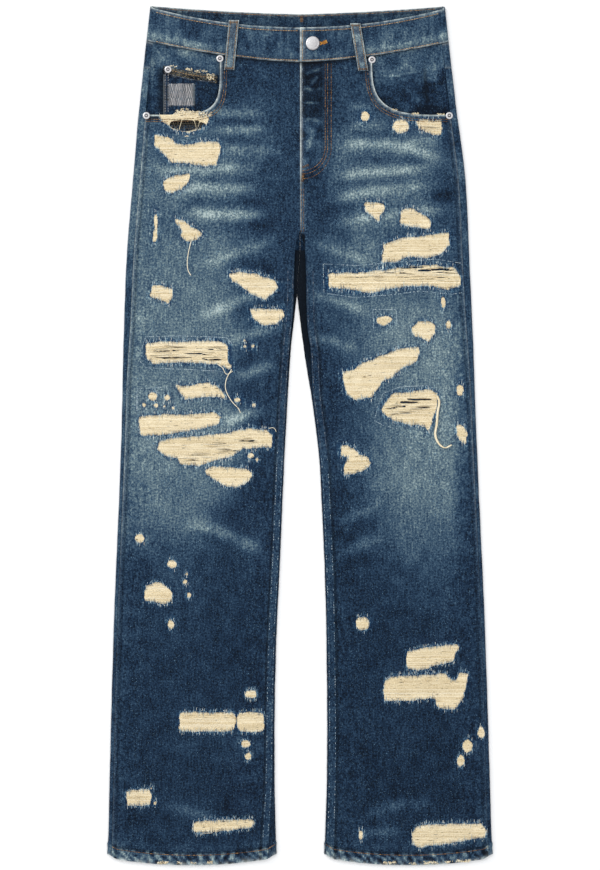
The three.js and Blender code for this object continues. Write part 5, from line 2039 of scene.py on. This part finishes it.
# Rings of each stud's top from its rim inwards: how wide, and how far up or down.
RIVET_RINGS = ((0.5, 0.35), (0.9, 0.25), (1.2, -0.3), (0.35, 0.0), (0.2, 0.75), (0.45, 0.12))
BUTTON_RINGS = ((0.6, 0.9), (1.0, 0.5), (0.5, -0.35), (0.5, 0.1), (2.6, 0.55), (2.0, 0.15))
RIVET_RADIUS = 4.4
BUTTON_RADIUS = 8.8
METAL_CRISP = 35


def rivet_painted_light(x, y, r):
    """Painted highlight on the rim and burr, painted shade in the ring between."""
    tone = 0.5 + 0.5 * ramp(2.0, 2.6, r) - 0.2 * ramp(3.7, 4.3, r) + 0.45 * drop(0.7, 1.0, r)
    return tone - 0.35 * ramp(0.8, 1.0, r) * drop(1.8, 2.2, r)


def rivets():
    """One stud turned, then copied to both ends of each pocket mouth and to the coin pocket."""
    stud = turned("rivet", RIVET_RADIUS, 0.7, RIVET_RINGS, 32, 0.12, rivet_painted_light)
    spots = {}
    for side in SIDES:
        ends = {"inner": (side.mouth_start, float(front_seam(side.mouth_start)) - 4.5),
                "outer": (float(side.outer_fold(POCKET_FOOT)) - 10, POCKET_FOOT - 1)}
        for end, (out, y) in ends.items():
            edges = (out - RIVET_RADIUS, out, out + RIVET_RADIUS)
            ground = max(float(upside(side.sign * edge, y)) for edge in edges)
            spots[f"rivet_{side.name}_{end}"] = (side.sign * out, y, ground + 0.35)
    spots["rivet_coin_pocket"] = (-165, 457, float(coin_height(-165, 457)) + 0.2)
    for node, place in spots.items():
        piece = placed(copy_of(stud, node + "_stud"), *place)
        finished(piece, STEEL, "brushed_steel", [node], METAL_CRISP)
    bpy.data.objects.remove(stud)


def waist_button():
    """The button's cap on the band, and its shank down to the plate behind."""
    foot = float(upside(BUTTON_X, BUTTON_Y)) + GAP
    # The cap's tone: painted light, brighter towards one side, with painted shade round its rim.
    cap = turned("waist_button_cap", BUTTON_RADIUS, 1.1, BUTTON_RINGS, 64, 0.2,
                 lambda x, y, r: 0.86 - 0.022 * (x - 0.5 * y) - 0.3 * ramp(7.4, 8.8, r))
    placed(cap, BUTTON_X, BUTTON_Y, foot + 0.4)
    plate_foot = float(underside(BUTTON_Y)) + BAND_CLOTH + GAP
    shank = turned("waist_button_shank", 2.2, foot + 0.6 - plate_foot, ((0.3, 0.1),), 24, 0.1,
                   lambda x, y, r: 0.5 + 0 * r)
    placed(shank, BUTTON_X, BUTTON_Y, plate_foot)
    finished(cap, STEEL, "brushed_steel", ["waist_button"], METAL_CRISP)
    finished(shank, STEEL, "brushed_steel", [], METAL_CRISP)


# ---------------- making the jeans

def on_both(make):
    """What a maker makes for each side, by the side's name."""
    return {side.name: make(side) for side in SIDES}


dice = random.Random(17)
fronts = on_both(front_panel)
backs = on_both(back_panel)
yokes = on_both(back_yoke)
band = waistband()
facings = on_both(pocket_facing)
coin = coin_pocket()
back_pockets = on_both(back_pocket)
loops = on_both(front_loop)
rear_loops = [back_loop(name, centre) for name, centre in REAR_LOOPS.items()]
shield = fly_shield()
tape = zip_tape()

threads = on_both(lambda side: [weft_ground(side), weft_threads(side, dice), frayed_warp(side, dice)])
loose = [loose_yarns(), tufts(dice), pocket_net(dice)]

sewing = Sewing(dice)
for side in SIDES:
    sew_front(sewing, side)
    sew_round_rips(sewing, side)
sew_fly(sewing)
sew_band(sewing)
sew_loops(sewing)
sew_coin(sewing)
sew_back(sewing)
stitching = sewing.build()

rivets()
waist_button()

# ---------------- floor, light and camera

def floor():
    bpy.ops.object.select_all(action="DESELECT")
    bpy.ops.mesh.primitive_plane_add(size=12, location=(0, 0, -0.0003))
    ground = bpy.context.object
    ground.name = "floor"
    paint = Finish("pale_floor", 0.9)
    paint.shader.inputs["Base Color"].default_value = (0.9, 0.9, 0.9, 1)
    ground.data.materials.append(paint.material)


def softbox(name, place, size, power, tilt, glossy):
    light = bpy.data.lights.new(name, "AREA")
    light.shape = "RECTANGLE"
    light.size, light.size_y = size
    light.energy = power
    lamp = bpy.data.objects.new(name, light)
    lamp.location = place
    lamp.rotation_euler = [math.radians(angle) for angle in tilt]
    lamp.visible_glossy = glossy
    bpy.context.collection.objects.link(lamp)


CAMERA_HEIGHT = 3.2
VIEW_HEIGHT = 1.0875
SENSOR_HEIGHT = 24

floor()
softbox("overhead", (0.0, 0.2, 2.6), (2.2, 2.6), 58, (0, 0, 0), False)
softbox("upper_left", (-1.9, 1.5, 1.5), (1.2, 1.6), 26, (-40, -48, 0), True)
world = bpy.data.worlds.new("studio")
bpy.context.scene.world = world
world.use_nodes = True
background = world.node_tree.nodes["Background"]
background.inputs["Color"].default_value = (0.95, 0.97, 1.0, 1)
background.inputs["Strength"].default_value = 0.55
bpy.context.scene.view_settings.view_transform = "Standard"

camera = bpy.data.objects.new("camera", bpy.data.cameras.new("camera"))
camera.data.sensor_fit = "VERTICAL"
camera.data.sensor_height = SENSOR_HEIGHT
camera.data.lens = SENSOR_HEIGHT * CAMERA_HEIGHT / VIEW_HEIGHT
camera.location = (0, 0, CAMERA_HEIGHT + LEG_HEIGHT * MM)
bpy.context.collection.objects.link(camera)
bpy.context.scene.camera = camera
